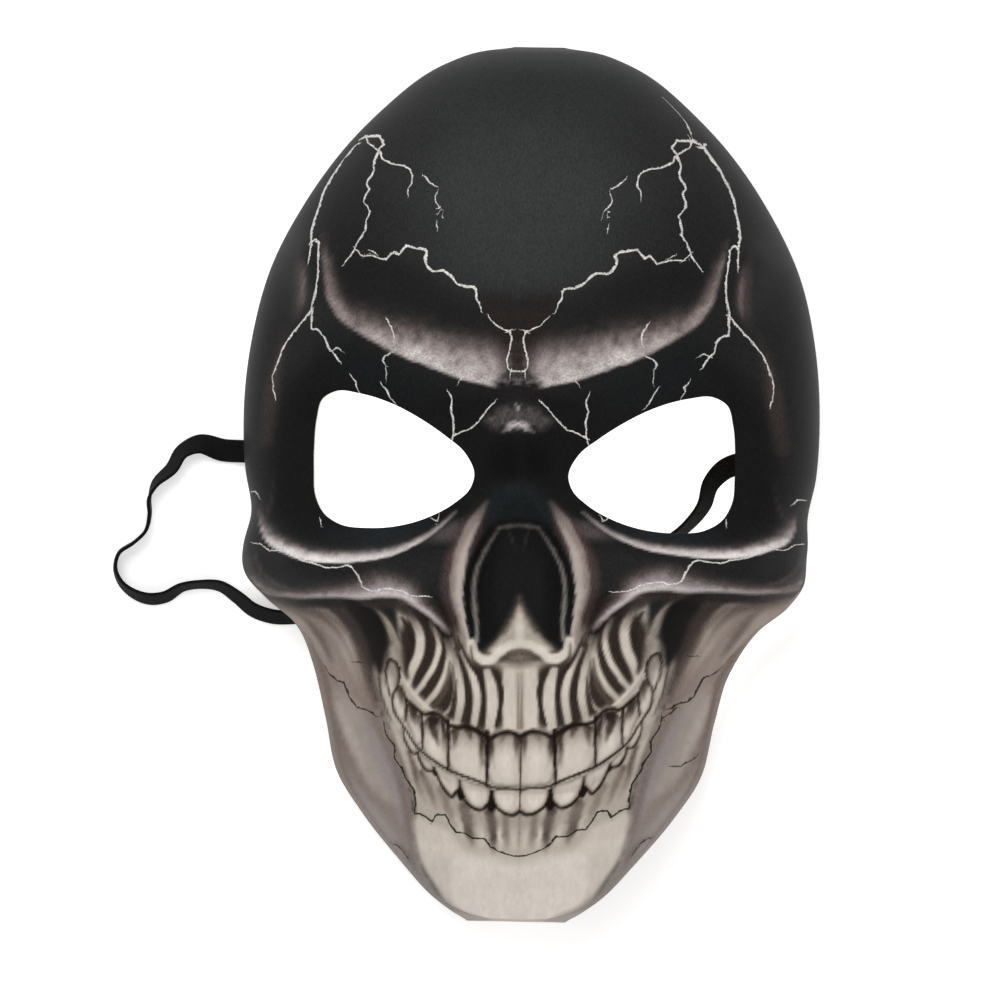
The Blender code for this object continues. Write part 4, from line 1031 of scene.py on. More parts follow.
CHEEK_STROKES = (
    ("#1d1816", (2, 3.5, 4, 3), 2.5, (0.5, 0.8, 0.9, 0.6), ((272, 600), (300, 604), (330, 603), (356, 606))),
    ("#332b29", (1.5, 4, 6, 3), 3.5, (0.5, 0.8, 0.85, 0.5), ((360, 605), (382, 603), (404, 608), (424, 620))),
    ("#574c48", (4, 6, 7, 5), 5.0, (0.5, 0.7, 0.7, 0.4), ((248, 560), (253, 578), (268, 590), (292, 596))),
    ("#8f8580", (1.0, 1.8, 2.0, 1.6), 1.6, (0.3, 0.8, 0.9, 0.5),
     ((250, 576), (260, 586), (280, 593.5), (306, 597.5))),
    ("#4f4643", (1.0, 1.6, 1.8, 1.2), 2.0, (0.4, 0.7, 0.7, 0.3),
     ((255, 547), (257, 562), (266, 576), (286, 588), (304, 592))),
    ("#b5aba3", (1.0, 2.0, 2.4, 1.6), 2.0, (0.3, 0.8, 0.8, 0.4),
     ((404, 602), (420, 608), (436, 620), (448, 634))),
)
# The dim brown lights on the temples and beside the eyes, and the blue-black sheen in the sockets
SIDE_STROKES = (
    ("#463b3a", (3, 6, 6, 3), 4.0, (0.1, 0.85, 0.85, 0.2), ((298, 244), (301, 272), (300, 300), (293, 322))),
    ("#75696a", (0.8, 1.8, 1.6, 0.6), 2.0, (0.1, 0.8, 0.7, 0.1),
     ((303, 262), (303, 280), (302, 300), (299, 314))),
    ("#3a302e", (5, 8, 7), 5.0, (0.3, 0.85, 0.6), ((286, 330), (272, 390), (266, 440))),
    ("#5a4d4c", (0.8, 1.6, 1.2), 1.6, (0.1, 0.7, 0.2), ((285, 338), (278, 362), (274, 392))),
    ("#3a3230", (1.0, 1.6, 1.4), 2.0, (0.2, 0.8, 0.6), ((274, 470), (270, 505), (262, 528))),
    ("#181b1c", (12, 18, 14), 12.0, (0.4, 0.8, 0.5), ((330, 340), (372, 374), (420, 390))),
    ("#23282c", (9, 14, 10), 9.0, (0.3, 0.75, 0.4), ((330, 536), (380, 538), (420, 524))),
)
# The marks on the middle line between the brows, and the small light under them
GLABELLA_AREAS = (
    ("#251e1c", 12.0, 0.9, ((486, 300), (518, 306), (552, 300), (545, 334), (532, 350), (528, 372),
                            (508, 372), (504, 350), (494, 336))),
    ("#1c1a1a", 6.0, 0.95, ((500, 376), (536, 376), (545, 396), (540, 408), (518, 404), (494, 408),
                            (490, 394))),
    ("#4e4848", 6.0, 0.85, ((484, 420), (500, 408), (518, 404), (536, 408), (552, 420), (540, 430),
                            (518, 426), (496, 430))),
)
GLABELLA_STROKES = (
    ("#a59d9b", (2, 3.5, 3.0), 2.2, (0.4, 0.8, 0.95), ((503, 431), (511, 426.5), (518, 424))),
    ("#c8c1be", (1, 1.6), 1.6, (0.3, 0.9), ((510, 428), (518, 423.5))),
    ("#a29a97", (1.4, 1.6), 1.4, (0.8, 0.8), ((516, 405), (519, 409))),
)
# The print's middle line, as y down the print and the x of the line there
MIDLINE = ((0, 525), (152, 525), (330, 517.6), (450, 518), (640, 519.7), (788, 520.5), (918, 517),
           (1000, 517))
# The black of the brow and the sockets, and single inks
BLACK_AREAS = (
    ("#1a1a1a", 16.0, 0.8, ((330, 268), (400, 262), (470, 296), (520, 300), (520, 345), (440, 325),
                            (380, 305), (345, 300))),
    ("#161616", 14.0, 0.9, ((300, 372), (330, 350), (400, 376), (455, 392), (520, 396), (520, 480),
                            (500, 520), (440, 546), (330, 550), (280, 520), (272, 440))),
)
# The forehead and crown colours are not inks of the print but a painted highlight, the knit's sheen
INKS = {
    "ground": "#202020", "forehead": "#343635", "crown": "#292b2a", "tooth_gap": "#17110f",
    "tooth_edge": "#84796f", "tooth": "#c4bab0", "tooth_root": "#3f342d", "tooth_line": "#1c1411",
}
FOREHEAD_SHEEN_MIDDLE = (520, 190)
ROOTS_END = 784  # the upper teeth's roots lie above this, in artwork units


def lay_areas(canvas, x, y, areas, worn=1.0):
    """Paints a table of areas one over the other, each strength times how the ink is worn."""
    for colour, soft, strength, outline in areas:
        paint(canvas, colour, area(x, y, outline, soft) * strength * worn)


def lay_strokes(canvas, x, y, strokes):
    """Paints a table of brush strokes one over the other."""
    for colour, widths, soft, strengths, line in strokes:
        paint(canvas, colour, stroke(x, y, line, widths, soft, strengths))


def print_forehead(canvas, x, y):
    """The black of the crown, brow and sockets, with the knit's sheen painted in: lighter in the forehead's
    middle, fainter along the crown.
    """
    middle_x, middle_y = FOREHEAD_SHEEN_MIDDLE
    away = np.hypot(x - middle_x, 1.1 * (y - middle_y))
    # painted highlight: the knit's sheen over the forehead's middle, and a fainter lift along the crown
    paint(canvas, INKS["forehead"], smoothstep(190.0, 50.0, away) * 0.9)
    paint(canvas, INKS["crown"], smoothstep(150.0, 70.0, y) * 0.7)
    lay_areas(canvas, x, y, BLACK_AREAS)
    lay_strokes(canvas, x, y, SIDE_STROKES)


def print_brow(canvas, x, y, fuzz, stipple):
    """The raised brow, rubbed on over a crisp lower edge, and the small lights between the eyes. Gives how
    much each place is speckled."""
    speckle = np.zeros_like(x)
    worn = cloud(x, y, 13.0, 77, 3)
    for colour, soft, heights, strengths in BROW_SHELVES:
        cover = shelf(x, y + 0.8 * fuzz, BROW_EDGE, heights, soft, strengths)
        paint(canvas, colour, cover * (0.86 + 0.15 * fuzz + 0.05 * stipple + 0.30 * worn))
        speckle = np.maximum(0.75 * speckle, cover)
    lay_areas(canvas, x, y, GLABELLA_AREAS, 0.85 + 0.3 * fuzz + 0.2 * stipple)
    lay_strokes(canvas, x + 0.5 * fuzz, y + 1.5 * stipple, GLABELLA_STROKES)
    return speckle


def print_jaw(canvas, x, y, fuzz):
    """The jaw, the chin and the bone that the teeth stand in, with the dark hollow beside it."""
    lay_areas(canvas, x + 2.0 * fuzz, y, JAW_AREAS)
    lay_strokes(canvas, x, y, JAW_STREAKS)
    lay_areas(canvas, x, y, BONE_AREAS + MAXILLA_SHADE)
    lay_strokes(canvas, x, y, BARS + BAR_SHADES)
    lay_areas(canvas, x, y, (HOLLOW_EDGE,))
    lay_strokes(canvas, x, y, MAXILLA_EDGES)
    lay_areas(canvas, x, y, (HOLLOW,))


def print_cheek(canvas, x, y, fuzz, grain, stipple):
    """The cheekbone and the lower edge of the socket. Gives how much each place is speckled."""
    speckle = np.zeros_like(x)
    lay_strokes(canvas, x + fuzz, y + 0.8 * grain, CHEEK_STROKES)
    for edge, shelves in ((CHEEK_EDGE, CHEEK_SHELVES), (ORBIT_EDGE, ORBIT_SHELVES)):
        for colour, soft, heights, strengths in shelves:
            cover = shelf(x, y + 0.5 * fuzz, edge, heights, soft, strengths)
            paint(canvas, colour, cover * (0.94 + 0.14 * fuzz + 0.05 * stipple))
            speckle = np.maximum(speckle, 0.4 * cover)
    lay_strokes(canvas, x, y + 0.8 * fuzz, ORBIT_STROKES)
    return speckle


def print_teeth(canvas, x, y, fuzz, grain):
    """Both rows of teeth: dark gaps, each tooth lighter in its core than at its edge, brown roots under the
    gum's line, streaks, and drawn edges."""
    lay_strokes(canvas, x + fuzz, y, ROOT_SHADES)
    for outline in TOOTH_GAPS:
        paint(canvas, INKS["tooth_gap"], area(x, y, outline, 1.2))
    whole, core = np.zeros_like(x), np.zeros_like(x)
    for outline in UPPER_TEETH + LOWER_TEETH:
        whole = np.maximum(whole, area(x, y, outline, 1.0))
        core = np.maximum(core, np.clip(2.0 * area(x, y, outline, 4.5) - 1.0, 0.0, 1.0))
    paint(canvas, INKS["tooth_edge"], whole)
    paint(canvas, INKS["tooth"], core)
    below_gum = y - np.interp(x, *zip(*GUM_LINE))
    root = (1.0 - smoothstep(1.0, 25.0 + 7.0 * grain, below_gum)) * (1.0 - 0.6 * core) * whole
    paint(canvas, INKS["tooth_root"], root * (y < ROOTS_END))
    for colour, widths, soft, strengths, line in TOOTH_LIGHTS + TOOTH_SHADES:
        streaky = stroke(x + 1.0 * grain, y + 3.0 * grain, line, widths, soft, strengths)
        paint(canvas, colour, streaky * np.maximum(whole, 0.35))
    for widths, soft, line in TOOTH_LINES:
        paint(canvas, INKS["tooth_line"], stroke(x + 0.5 * fuzz, y + 0.5 * fuzz, line, widths, soft))


def print_nose(canvas, x, y, fuzz):
    """The nose's opening, the pale bands round it, and the spine that stands in it."""
    lay_areas(canvas, x, y, NOSE_AREAS)
    lay_strokes(canvas, x + 0.6 * fuzz, y, NOSE_BANDS)
    lay_areas(canvas, x + 0.7 * fuzz, y, SPINE_AREAS)
    lay_strokes(canvas, x + 0.4 * fuzz, y + 0.4 * fuzz, SPINE_STROKES)


def face_print(x, y):
    """The printed colours at places of the artwork's left half, and how much each is speckled."""
    canvas = np.tile(rgb(INKS["ground"]), (len(x), 1))
    mist = cloud(x, y, 46.0, 11)
    fuzz = cloud(x, y, 5.5, 31, 2)
    grain = cloud(x, y, (2.6, 7.0), 47, 2)
    stipple = cloud(x, y, 2.3, 59, 1)
    print_forehead(canvas, x, y)
    speckle = print_brow(canvas, x, y, fuzz, stipple)
    print_jaw(canvas, x, y, fuzz)
    speckle = np.maximum(speckle, print_cheek(canvas, x, y, fuzz, grain, stipple))
    print_teeth(canvas, x, y, fuzz, grain)
    print_nose(canvas, x, y, fuzz)
    # the ink lies a little unevenly
    canvas *= (1.0 + 0.03 * mist + 0.015 * fuzz + 0.015 * grain)[:, None]
    return canvas, speckle


# Cracks in the print: widths at the start, middle and end, and the points
PALE_CRACKS = (
    (3.0, 2.6, 2.3, ((357.8, 139.5), (366.2, 136.2), (379.8, 136.2), (384, 144.3), (378.3, 150))),
    (2.8, 2.0, 2.5, ((357.8, 139.5), (348.6, 152.9), (341, 162.4), (331.4, 177.7), (322.8, 193),
                     (319.9, 204.5), (315.1, 217.9), (311.3, 231.3), (311.3, 242.8))),
    (2.1, 1.4, 0.0, ((311.3, 244.7), (308.4, 260), (307.1, 269.6))),
    (2.5, 1.9, 1.1, ((311.7, 309.6), (303.1, 321), (291.7, 334.4), (283, 347.8), (277.3, 363.1),
                     (272.5, 376.5), (273.5, 391.8), (275.4, 397.6))),
    (1.8, 1.4, 0.5, ((331.8, 350.1), (337.6, 347.8), (343.3, 351.7))),
    (1.1, 1.6, 0.7, ((351.5, 375.6), (356, 382), (355.7, 386.1), (360.1, 392.8))),
    (1.4, 1.6, 1.1, ((387.3, 320.1), (392.1, 328.7), (394, 336.3), (393, 344))),
    (1.4, 1.8, 0.7, ((393, 351.7), (385.4, 355.5), (382, 359.7), (385.4, 365))),
    (0.9, 1.8, 0.7, ((381.6, 384.2), (386.4, 389.9), (390.2, 397.6), (395.9, 404.3))),
    (0.9, 1.8, 0.7, ((460, 374.6), (462.9, 376.5), (458.1, 383.2))),
    (1.4, 1.9, 1.4, ((448.5, 391.8), (452.4, 399.5), (450.4, 409), (453.3, 419.6), (453.3, 433.9),
                     (451.4, 441.6))),
    (2.3, 1.8, 1.6, ((378.3, 151), (373.5, 162.4), (374.4, 172), (365.8, 182.5), (369.3, 189.2), (363, 200.7),
                     (370.6, 210.3), (364.9, 224.6), (366.8, 228.4), (362, 235.1), (356.3, 244.7),
                     (355.3, 248.5), (349.6, 257.1), (343.8, 263.8))),
    (0.9, 1.9, 0.9, ((424.2, 175.8), (429.9, 182.5), (435.7, 186.4))),
    (1.1, 1.9, 0.7, ((436.6, 193), (434.7, 199.7), (441.4, 209.3))),
    (1.2, 1.6, 1.1, ((438.5, 215), (441.4, 216))),
    (1.6, 1.9, 2.5, ((362, 255.8), (371.6, 255.2), (385.9, 260), (393.6, 251.4), (398.4, 255.2), (406, 245.7),
                     (413.7, 247.6))),
    (2.6, 3.0, 2.6, ((413.7, 247.6), (425.1, 249.5), (428, 254.3), (424.2, 258.1), (428, 267.7),
                     (432.8, 271.5))),
    (2.1, 2.8, 2.5, ((432.8, 271.5), (443.3, 270.5), (451.9, 277.2), (457.7, 283.9), (465.3, 286.8),
                     (473, 286.8), (476.8, 290.6))),
    (2.3, 1.9, 1.1, ((476.8, 290.6), (475.8, 298.3), (479.7, 304), (481, 309.8))),
    (1.4, 1.8, 1.8, ((488.7, 316.8), (495.4, 324.9), (504, 329.7), (509.8, 331.6), (511.7, 338.3),
                     (509.8, 349.7), (506.9, 359.3), (507.8, 367), (510.7, 371.2), (519.3, 371.2))),
    (1.1, 1.6, 1.8, ((253.4, 543), (261, 544), (268.7, 550.6), (278.3, 550.6), (286, 548.7), (290.7, 554.4),
                     (303.1, 561.1), (316.5, 564), (326.1, 567.8), (339.5, 566.9), (347.1, 565),
                     (352.9, 567.8))),
    (1.8, 1.9, 0.9, ((352.9, 567.8), (358.6, 577.4), (362.4, 587), (370, 590.8), (377.7, 591.7),
                     (379.6, 588.9), (389.2, 588.9), (402.6, 590.8), (408.4, 594.6), (417.9, 596.5),
                     (429.4, 596.5))),
    (1.1, 1.4, 0.7, ((248.6, 492.3), (255.3, 491.3), (259.1, 497))),
    (1.2, 1.2, 0.7, ((320.4, 520), (321.3, 524.8))),
    (1.1, 1.4, 0.7, ((431.3, 518.1), (437, 521.5), (439, 516.2))),
)
# Branches that run close to a longer crack
PALE_TWIGS = (
    (2.3, 1.9, 2.1, ((366.2, 136.2), (367.7, 142.4), (376.4, 149))),
    (2.5, 1.9, 2.5, ((311.3, 242.8), (315.1, 238), (319, 242.8), (318, 256.2), (318.4, 269.6), (316.1, 288.7),
                     (312.3, 304), (311.3, 311.7))),
    (2.5, 2.0, 1.8, ((311.7, 309.6), (311.7, 329.7), (316.5, 328.7), (324.2, 336.3), (328, 347.8),
                     (331.8, 350.1), (337.6, 359.3), (339.5, 361.6))),
    (0.7, 1.1, 0.5, ((385.8, 367), (386.4, 380.4))),
    (1.8, 1.8, 1.1, ((453.3, 436.2), (461.9, 431), (471.5, 428.2), (479.1, 420.5), (486.8, 410),
                     (495.4, 401.4))),
    (2.3, 1.8, 1.2, ((379.8, 151.9), (382.1, 158.6), (390.7, 163.4), (402.2, 165.3), (409.8, 169.1),
                     (412.7, 175.8), (411.7, 183.5), (407.9, 189.2), (407.5, 195))),
    (1.6, 1.4, 0.5, ((355.3, 248.5), (362, 256.2))),
    (1.2, 1.2, 0.5, ((370.6, 250.4), (377.3, 255.2))),
    (1.6, 1.2, 0.5, ((510.7, 371.2), (509.8, 378.4))),
    (1.4, 1.2, 0.7, ((507.8, 331.6), (512.6, 329.7))),
    (1.1, 1.6, 0.7, ((436.2, 223.7), (436.6, 228.4))),
)
# A crack that only the right half has
PALE_CRACKS_RIGHT = (
    (1.4, 1.9, 0.9, ((668, 92), (676, 104), (684, 119), (692, 135))),
)
DARK_CRACKS = (
    (1.4, 2.2, 2.0, ((312, 663.8), (320.2, 666.2), (328.5, 673.3), (336.7, 680.3), (343.8, 682.7),
                     (347.4, 692.1), (352.1, 701.6), (358, 707.5), (367.4, 709.8), (375.7, 715.7))),
    (1.7, 2.3, 2.0, ((383.9, 722.8), (386.3, 734.6), (394.6, 746.4), (394.6, 758.2), (402.8, 770),
                     (405.2, 777.1), (413.4, 788.9), (415.8, 803), (414.6, 813.7), (419.3, 813.7),
                     (426.4, 817.2), (432.3, 821.9), (435.8, 814.8), (445.3, 814.8), (450, 824.3),
                     (455.9, 832.5))),
    (2.0, 2.2, 1.7, ((455.9, 832.5), (464.2, 832.5), (472.4, 838.4), (484.2, 838.4), (490.1, 846.7),
                     (501.9, 852.6), (513.7, 856.1), (523.2, 856.1))),
    (0.9, 1.7, 1.2, ((386.3, 844.3), (395.7, 844.3), (402.8, 850.2), (408.7, 859.7))),
    (0.9, 1.7, 0.9, ((353.3, 661.5), (361.5, 662.6))),
    (0.9, 1.7, 0.9, ((336.7, 778.3), (348.5, 784.2))),
)
# Cracks that only the right half of the jaw has
DARK_CRACKS_RIGHT = (
    (1.4, 2.0, 1.2, ((671.2, 766.4), (680.9, 766.4), (685.2, 763.1), (691.8, 759.9), (700, 754.4))),
    (1.2, 1.9, 1.2, ((666.8, 708.9), (675.5, 707.8), (672.2, 712.1), (663.6, 717.6))),
)
CRACK_SETS = (("pale", PALE_CRACKS, PALE_CRACKS_RIGHT), ("twig", PALE_TWIGS, ()),
              ("dark", DARK_CRACKS, DARK_CRACKS_RIGHT))
CRACK_REACH = 14.0  # artwork units round a crack where its places are stored


def crack_places(x, y, right_x, right_y, both, right_only):
    """Signed and plain distances to the nearest crack, and its half width there.

    The sign is that of the cross product of a run and the way from its start. The width goes straight
    from the start's to the middle's and on to the end's with the share of the crack's length.
    """
    side, near = np.full(x.shape, CRACK_REACH), np.full(x.shape, CRACK_REACH)
    half = np.zeros(x.shape)
    for cracks, across, down in ((both, x, y), (right_only, right_x, right_y)):
        for *widths, line in cracks:
            low, high = np.min(line, axis=0) - CRACK_REACH, np.max(line, axis=0) + CRACK_REACH
            in_columns = (across > low[0]) & (across < high[0])
            inside = np.flatnonzero(in_columns & (down > low[1]) & (down < high[1]))
            if not len(inside):
                continue
            u, v = across[inside], down[inside]
            away, place = nearest_run(u, v, line)
            run = np.clip(place.astype(int), 0, len(line) - 2)
            points = np.asarray(line)
            step = points[run + 1] - points[run]
            turn = np.sign(step[:, 0] * (v - points[run, 1]) - step[:, 1] * (u - points[run, 0]))
            length = np.concatenate([[0.0], np.cumsum(np.hypot(*np.diff(points, axis=0).T))])
            share = np.interp(place, np.arange(len(line)), length / length[-1])
            closer = away < near[inside]
            chosen = inside[closer]
            near[chosen] = away[closer]
            side[chosen] = (away * turn)[closer]
            half[chosen] = 0.5 * np.interp(share, (0.0, 0.5, 1.0), widths)[closer]
    return side, near, half


# Height under which the print wraps on round the walls, in metres
WRAP_LEVEL = 0.022
# The right half of the lower face: how much wider and how much further up it runs, as shares of the way
# from the middle line, where that sets in down the face, and the width over which it rises
RIGHT_WIDER = 0.045
RIGHT_RISE = 0.082
RIGHT_SETS_IN = (470.0, 570.0)
RIGHT_RISE_WIDTH = 150.0


def left_places(points, outwards):
    """Artwork places of points, those right of the print's middle line first mirrored to its left.

    The line's x at each y is the crest's, moved by as many metres as the print's middle lies beside the
    crest on the artwork. The mirrored x is twice the line's less x, with the jaw's twist left out. To the
    right of the line, the lower face then moves in and down in proportion to the way from the line.
    """
    crest = shell_surface(np.linspace(0.0, len(SECTIONS) - 1, CREST_STATIONS), np.zeros(1), False)[:, 0]
    across, down = artwork_places(crest)
    shift = (np.interp(down, *zip(*MIDLINE)) - across) / ARTWORK_SCALE
    line = np.interp(points[:, 1], crest[:, 1], shift)
    twist = jaw_twist(points[:, 1], points[:, 2])
    plain = points[:, 0] - twist
    mirrored = points.copy()
    mirrored[:, 0] = np.where(plain > line, 2.0 * line - plain, plain) + twist
    turned = outwards.copy()
    turned[:, 0] = np.where(plain > line, -outwards[:, 0], outwards[:, 0])
    x, y = wrapped_places(mirrored, turned)
    beside = np.where(plain > line, np.maximum(np.interp(y, *zip(*MIDLINE)) - x, 0.0), 0.0)
    lower = smoothstep(*RIGHT_SETS_IN, y)
    return (
        x + RIGHT_WIDER * lower * beside,
        y + RIGHT_RISE * lower * np.minimum(beside, RIGHT_RISE_WIDTH),
    )


def wrapped_places(points, outwards):
    """Artwork places of points, the print wrapped on round the steep side walls: below a level each place
    moves outwards by as much as the point lies under the level, along the part of the normal in x and y."""
    across, down = artwork_places(points)
    under = ARTWORK_SCALE * np.maximum(WRAP_LEVEL - points[:, 2], 0.0)
    level = outwards[:, :2] / (np.linalg.norm(outwards[:, :2], axis=1, keepdims=True) + 1e-6)
    return across + under * level[:, 0], down - under * level[:, 1]


def set_attribute(mesh, name, kind, values):
    """Stores one value per vertex under a name."""
    layer = mesh.attributes.new(name, kind, "POINT")
    field = "color" if kind == "FLOAT_COLOR" else "value"
    layer.data.foreach_set(field, np.ascontiguousarray(values).ravel())


def print_artwork(mesh):
    """Gives each vertex the printed colour, and the places of the pale and the dark cracks round it."""
    points = vertex_places(mesh)
    outwards = np.empty(len(points) * 3)
    mesh.vertex_normals.foreach_get("vector", outwards)
    outwards = outwards.reshape(-1, 3)
    x, y = left_places(points, outwards)
    colours, speckle = face_print(x, y)
    colours = to_linear(np.clip(colours, 0.0, 1.0))
    set_attribute(mesh, "print", "FLOAT_COLOR", np.column_stack([colours, speckle]))
    right_x, right_y = wrapped_places(points, outwards)
    for name, both, right_only in CRACK_SETS:
        side, near, width = crack_places(x, y, right_x, right_y, both, right_only)
        set_attribute(mesh, f"{name}_side", "FLOAT", side)
        set_attribute(mesh, f"{name}_near", "FLOAT", near)
        set_attribute(mesh, f"{name}_width", "FLOAT", width)


# Patterns to the metre: a wale of the knit 0.32 mm wide and 1.1 mm long, the print's dots 0.67 mm, its
# ragged edges 1.6 mm, cells of the foam 0.38 mm, ribs of the tricot 0.59 mm wide and 3.1 mm long, and
# soiling 22 mm. Single fibres are too fine to show, so the nap's are drawn as tufts of 0.43 mm, the lint on
# the elastic as flecks of 0.56 mm and the felt's fibres as tufts of 0.67 mm
WALES = (3100.0, 900.0, 900.0)
FIBRES = 2300.0
DOTS = 1500.0
RAGGED = 620.0
FOAM_CELLS = 2600.0
TRICOT_RIBS = (1700.0, 320.0, 320.0)
SOILING = 45.0
LINT = 1800.0
FELT_FIBRES = 1500.0
FELT_LAY = (1.0, 2.5, 1.0)
# The elastic's ribs and its weft, in metres from one to the next
RIB_PITCH = 0.00068
WEFT_PITCH = 0.00074
# Cracks, in artwork units: how far their edge is thrown about, how soft it is, how far off the nearest
# crack they still show, and the half width from which they show
CRACK_THROW = 3.0
CRACK_SOFT = 0.45
CRACK_CLOSE = (2.8, 4.2)
CRACK_SHOWN = (0.12, 0.4)


def crack_lines(tree, name, jag):
    """Where a set of cracks is drawn: 1 where the distance to the crack's middle, thrown about by jag, is
    less than its half width, and 0 outside."""
    side = node(tree, "Attribute", {"attribute_name": f"{name}_side"}, output="Fac")
    near = node(tree, "Attribute", {"attribute_name": f"{name}_near"}, output="Fac")
    width = node(tree, "Attribute", {"attribute_name": f"{name}_width"}, output="Fac")
    thrown = node(tree, "Math", MULTIPLY, node(tree, "Math", SUBTRACT, jag, 0.5), CRACK_THROW)
    away = node(tree, "Math", {"operation": "ABSOLUTE"}, node(tree, "Math", ADD, side, thrown))
    ragged = node(tree, "Math", MULTIPLY, width, node(tree, "MapRange", SMOOTH, jag, 0.3, 0.7, 0.55, 1.05))
    outside = node(tree, "Math", SUBTRACT, away, ragged)
    drawn = node(tree, "MapRange", SMOOTH, outside, -CRACK_SOFT, CRACK_SOFT, 1.0, 0.0)
    close = node(tree, "MapRange", SMOOTH, near, *CRACK_CLOSE, 1.0, 0.0)
    shown = node(tree, "MapRange", SMOOTH, width, *CRACK_SHOWN, 0.0, 1.0)
    return node(tree, "Math", MULTIPLY, node(tree, "Math", MULTIPLY, drawn, close), shown)


def printed_knit():
    """Sublimation ink on a brushed polyester knit: the stored print, darker and lighter by the knit's grain,
    which also carries painted highlights on its wales, with the dark and the pale cracks laid over it."""
    material, tree, shader = new_material("printed_polyester_knit")
    place = node(tree, "TexCoord", {}, output="Object")
    # the wales give fine upright lines, the fibres a soft nap between them
    wales = node(tree, "TexNoise", {}, Scale=1.0, Detail=1.0,
                 Vector=node(tree, "Mapping", {}, Vector=place, Scale=WALES))
    fibres = node(tree, "TexNoise", {}, Vector=place, Scale=FIBRES, Detail=2.0)
    jag = node(tree, "TexNoise", {}, Vector=place, Scale=RAGGED, Detail=2.0)
    ink = node(tree, "Attribute", {"attribute_name": "print"}, output="Color")
    # the dots give the highlights the grain of ink rubbed on over black
    dots = node(tree, "TexNoise", {}, Vector=place, Scale=DOTS, Detail=1.0)
    dots = node(tree, "MapRange", SMOOTH, dots, 0.32, 0.68, -0.24, 0.24)
    speckled = node(tree, "Attribute", {"attribute_name": "print"}, output="Alpha")
    speckle = node(tree, "Math", MULTIPLY, speckled, dots)
    dark = crack_lines(tree, "dark", jag)
    pale = node(tree, "Math", {"operation": "MAXIMUM"},
                crack_lines(tree, "pale", jag), crack_lines(tree, "twig", jag))
    # the knit shows through most where the ink is black: its grain is partly the knit's own colour and partly
    # painted highlights on the wales, since the shader has next to no shine
    strength = node(tree, "MapRange", SMOOTH, node(tree, "RGBToBW", {}, ink), 0.015, 0.30, 0.30, 0.05)
    weave = node(tree, "Math", ADD, node(tree, "MapRange", SMOOTH, wales, 0.25, 0.75, -0.6, 0.6),
                 node(tree, "MapRange", SMOOTH, fibres, 0.3, 0.7, -0.4, 0.4))
    uneven = node(tree, "Math", ADD, node(tree, "Math", MULTIPLY, weave, strength), speckle)
    uneven = node(tree, "Math", ADD, uneven, 1.0)
    shade = node(tree, "CombineColor", {}, uneven, uneven, uneven)
    colour = node(tree, "Mix", {"data_type": "RGBA", "blend_type": "MULTIPLY"}, 1.0, k6=ink, k7=shade,
                  output=2)
    inked = node(tree, "Math", MULTIPLY, dark, 0.95)
    colour = node(tree, "Mix", COLOURS, inked, k6=colour, k7=linear("#1d1613"), output=2)
    # the pale cracks are broken up by the nap that they are printed on
    broken = node(tree, "MapRange", SMOOTH, fibres, 0.35, 0.65, 0.0, 1.0)
    bright = node(tree, "Mix", COLOURS, broken, k6=linear("#a9a5a2"), k7=linear("#eeebe7"), output=2)
    laid = node(tree, "Math", MULTIPLY, pale, 0.92)
    colour = node(tree, "Mix", COLOURS, laid, k6=colour, k7=bright, output=2)
    fill(tree, shader.inputs["Base Color"], colour)
    # a dull nap with next to no shine
    shader.inputs["Roughness"].default_value = 0.5
    shader.inputs["IOR"].default_value = 1.3
    shader.inputs["Specular IOR Level"].default_value = 0.06
    relief = node(tree, "Math", ADD, wales, node(tree, "Math", MULTIPLY, fibres, 0.5))
    bump = node(tree, "Bump", {}, Height=relief, Strength=0.35, Distance=0.00010)
    fill(tree, shader.inputs["Normal"], bump)
    return material


def cut_foam():
    """Die-cut polyurethane foam: the distance to the nearest cell's middle gives a pale, dry, pitted edge."""
    material, tree, shader = new_material("die_cut_foam")
    place = node(tree, "TexCoord", {}, output="Object")
    cells = node(tree, "TexVoronoi", {"feature": "F1"}, Vector=place, Scale=FOAM_CELLS, output="Distance")
    tone = node(tree, "MapRange", SMOOTH, cells, 0.1, 0.7, 0.0, 1.0)
    colour = node(tree, "Mix", COLOURS, tone, k6=linear("#77736d"), k7=linear("#b5b0a8"), output=2)
    fill(tree, shader.inputs["Base Color"], colour)
    shader.inputs["Roughness"].default_value = 0.95
    bump = node(tree, "Bump", {}, Height=cells, Strength=0.5, Distance=0.0002)
    fill(tree, shader.inputs["Normal"], bump)
    return material


def foam_back():
    """The foam's moulded back with its thin tricot backing: off-white and matt. The ribs give it a fine
    upright grain, and the soiling faint uneven patches."""
    material, tree, shader = new_material("tricot_backed_foam")
    place = node(tree, "TexCoord", {}, output="Object")
    ribs = node(tree, "TexNoise", {}, Scale=1.0, Detail=2.0,
                Vector=node(tree, "Mapping", {}, Vector=place, Scale=TRICOT_RIBS))
    soil = node(tree, "TexNoise", {}, Vector=place, Scale=SOILING, Detail=3.0)
    tone = node(tree, "Math", ADD, node(tree, "MapRange", SMOOTH, ribs, 0.3, 0.7, 0.0, 0.7),
                node(tree, "MapRange", SMOOTH, soil, 0.3, 0.7, 0.0, 0.3))
    colour = node(tree, "Mix", COLOURS, tone, k6=linear("#b9b4aa"), k7=linear("#d9d5cc"), output=2)
    fill(tree, shader.inputs["Base Color"], colour)
    shader.inputs["Roughness"].default_value = 0.92
    bump = node(tree, "Bump", {}, Height=ribs, Strength=0.4, Distance=0.0002)
    fill(tree, shader.inputs["Normal"], bump)
    return material


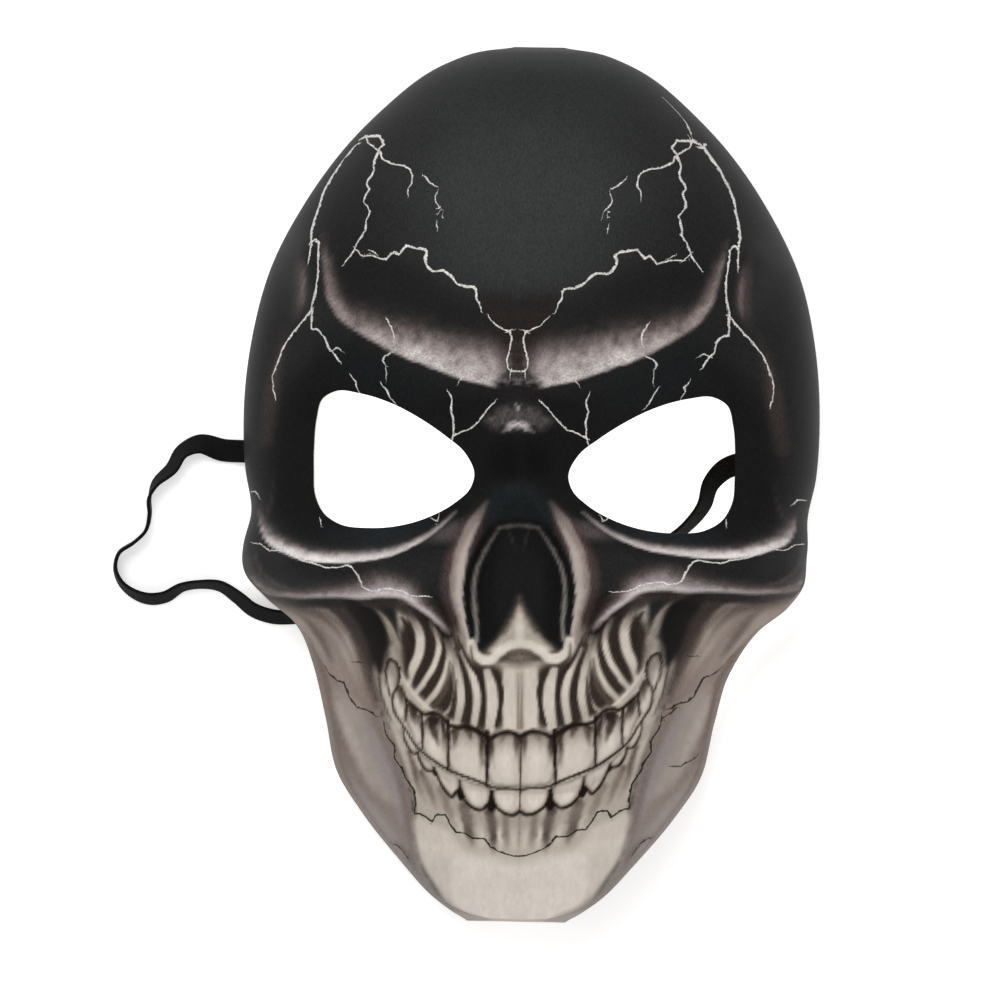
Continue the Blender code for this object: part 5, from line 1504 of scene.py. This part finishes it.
def woven_elastic():
    """Narrow woven elastic: sines across and along the band give the black polyester ribs along its length
    and the fine lines of its weft, and the lint dulls them."""
    material, tree, shader = new_material("woven_elastic_tape")
    along = node(tree, "Attribute", {"attribute_name": "along"}, output="Fac")
    over = node(tree, "Attribute", {"attribute_name": "over"}, output="Fac")
    ribs = node(tree, "Math", {"operation": "SINE"},
                node(tree, "Math", MULTIPLY, over, 2.0 * math.pi / RIB_PITCH))
    picks = node(tree, "Math", {"operation": "SINE"},
                 node(tree, "Math", MULTIPLY, along, 2.0 * math.pi / WEFT_PITCH))
    weave = node(tree, "Math", {"operation": "MULTIPLY_ADD"}, ribs, 0.6,
                 node(tree, "Math", MULTIPLY, picks, 0.4))
    place = node(tree, "TexCoord", {}, output="Object")
    lint = node(tree, "TexNoise", {}, Vector=place, Scale=LINT, Detail=2.0)
    tone = node(tree, "Math", ADD, node(tree, "MapRange", SMOOTH, weave, -1.0, 1.0, 0.0, 0.75),
                node(tree, "Math", MULTIPLY, lint, 0.25))
    colour = node(tree, "Mix", COLOURS, tone, k6=linear("#060606"), k7=linear("#131313"), output=2)
    fill(tree, shader.inputs["Base Color"], colour)
    shader.inputs["Roughness"].default_value = 0.75
    shader.inputs["Specular IOR Level"].default_value = 0.1
    bump = node(tree, "Bump", {}, Height=weave, Strength=0.6, Distance=0.00012)
    fill(tree, shader.inputs["Normal"], bump)
    return material


def black_felt():
    """The plain glued patches: pressed black felt, whose short loose fibres give it a dusty matt face."""
    material, tree, shader = new_material("pressed_black_felt")
    place = node(tree, "Mapping", {}, Vector=node(tree, "TexCoord", {}, output="Object"), Scale=FELT_LAY)
    fibres = node(tree, "TexNoise", {}, Vector=place, Scale=FELT_FIBRES, Detail=4.0)
    tone = node(tree, "MapRange", SMOOTH, fibres, 0.3, 0.7, 0.0, 1.0)
    colour = node(tree, "Mix", COLOURS, tone, k6=linear("#141414"), k7=linear("#2e2e2e"), output=2)
    fill(tree, shader.inputs["Base Color"], colour)
    shader.inputs["Roughness"].default_value = 0.95
    shader.inputs["Sheen Weight"].default_value = 0.2
    bump = node(tree, "Bump", {}, Height=fibres, Strength=0.7, Distance=0.0003)
    fill(tree, shader.inputs["Normal"], bump)
    return material


def build_mask():
    """The printed shell in place of the CAD one."""
    shell = cut_shell([printed_knit(), cut_foam(), foam_back()])
    print_artwork(shell.data)
    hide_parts("mask_shell")
    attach(shell, "root")


def build_strap():
    """The elastic in place of the CAD one, and felt on its two patches."""
    centres, across = strap_line(STRAP_RINGS)
    verts, faces, along, over, length = band_mesh(centres, across)
    strap = add_object("woven_strap", verts, faces, [woven_elastic()], sharp=60.0)
    set_attribute(strap.data, "along", "FLOAT", along)
    set_attribute(strap.data, "over", "FLOAT", over)
    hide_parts("elastic_strap")
    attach(strap, "root")
    felt = black_felt()
    for label in ("left", "right"):
        patch = bpy.data.objects[f"strap_patch_{label}"]
        for slot in patch.material_slots:
            slot.material = felt


add_camera()
add_studio()
build_strap()
build_mask()
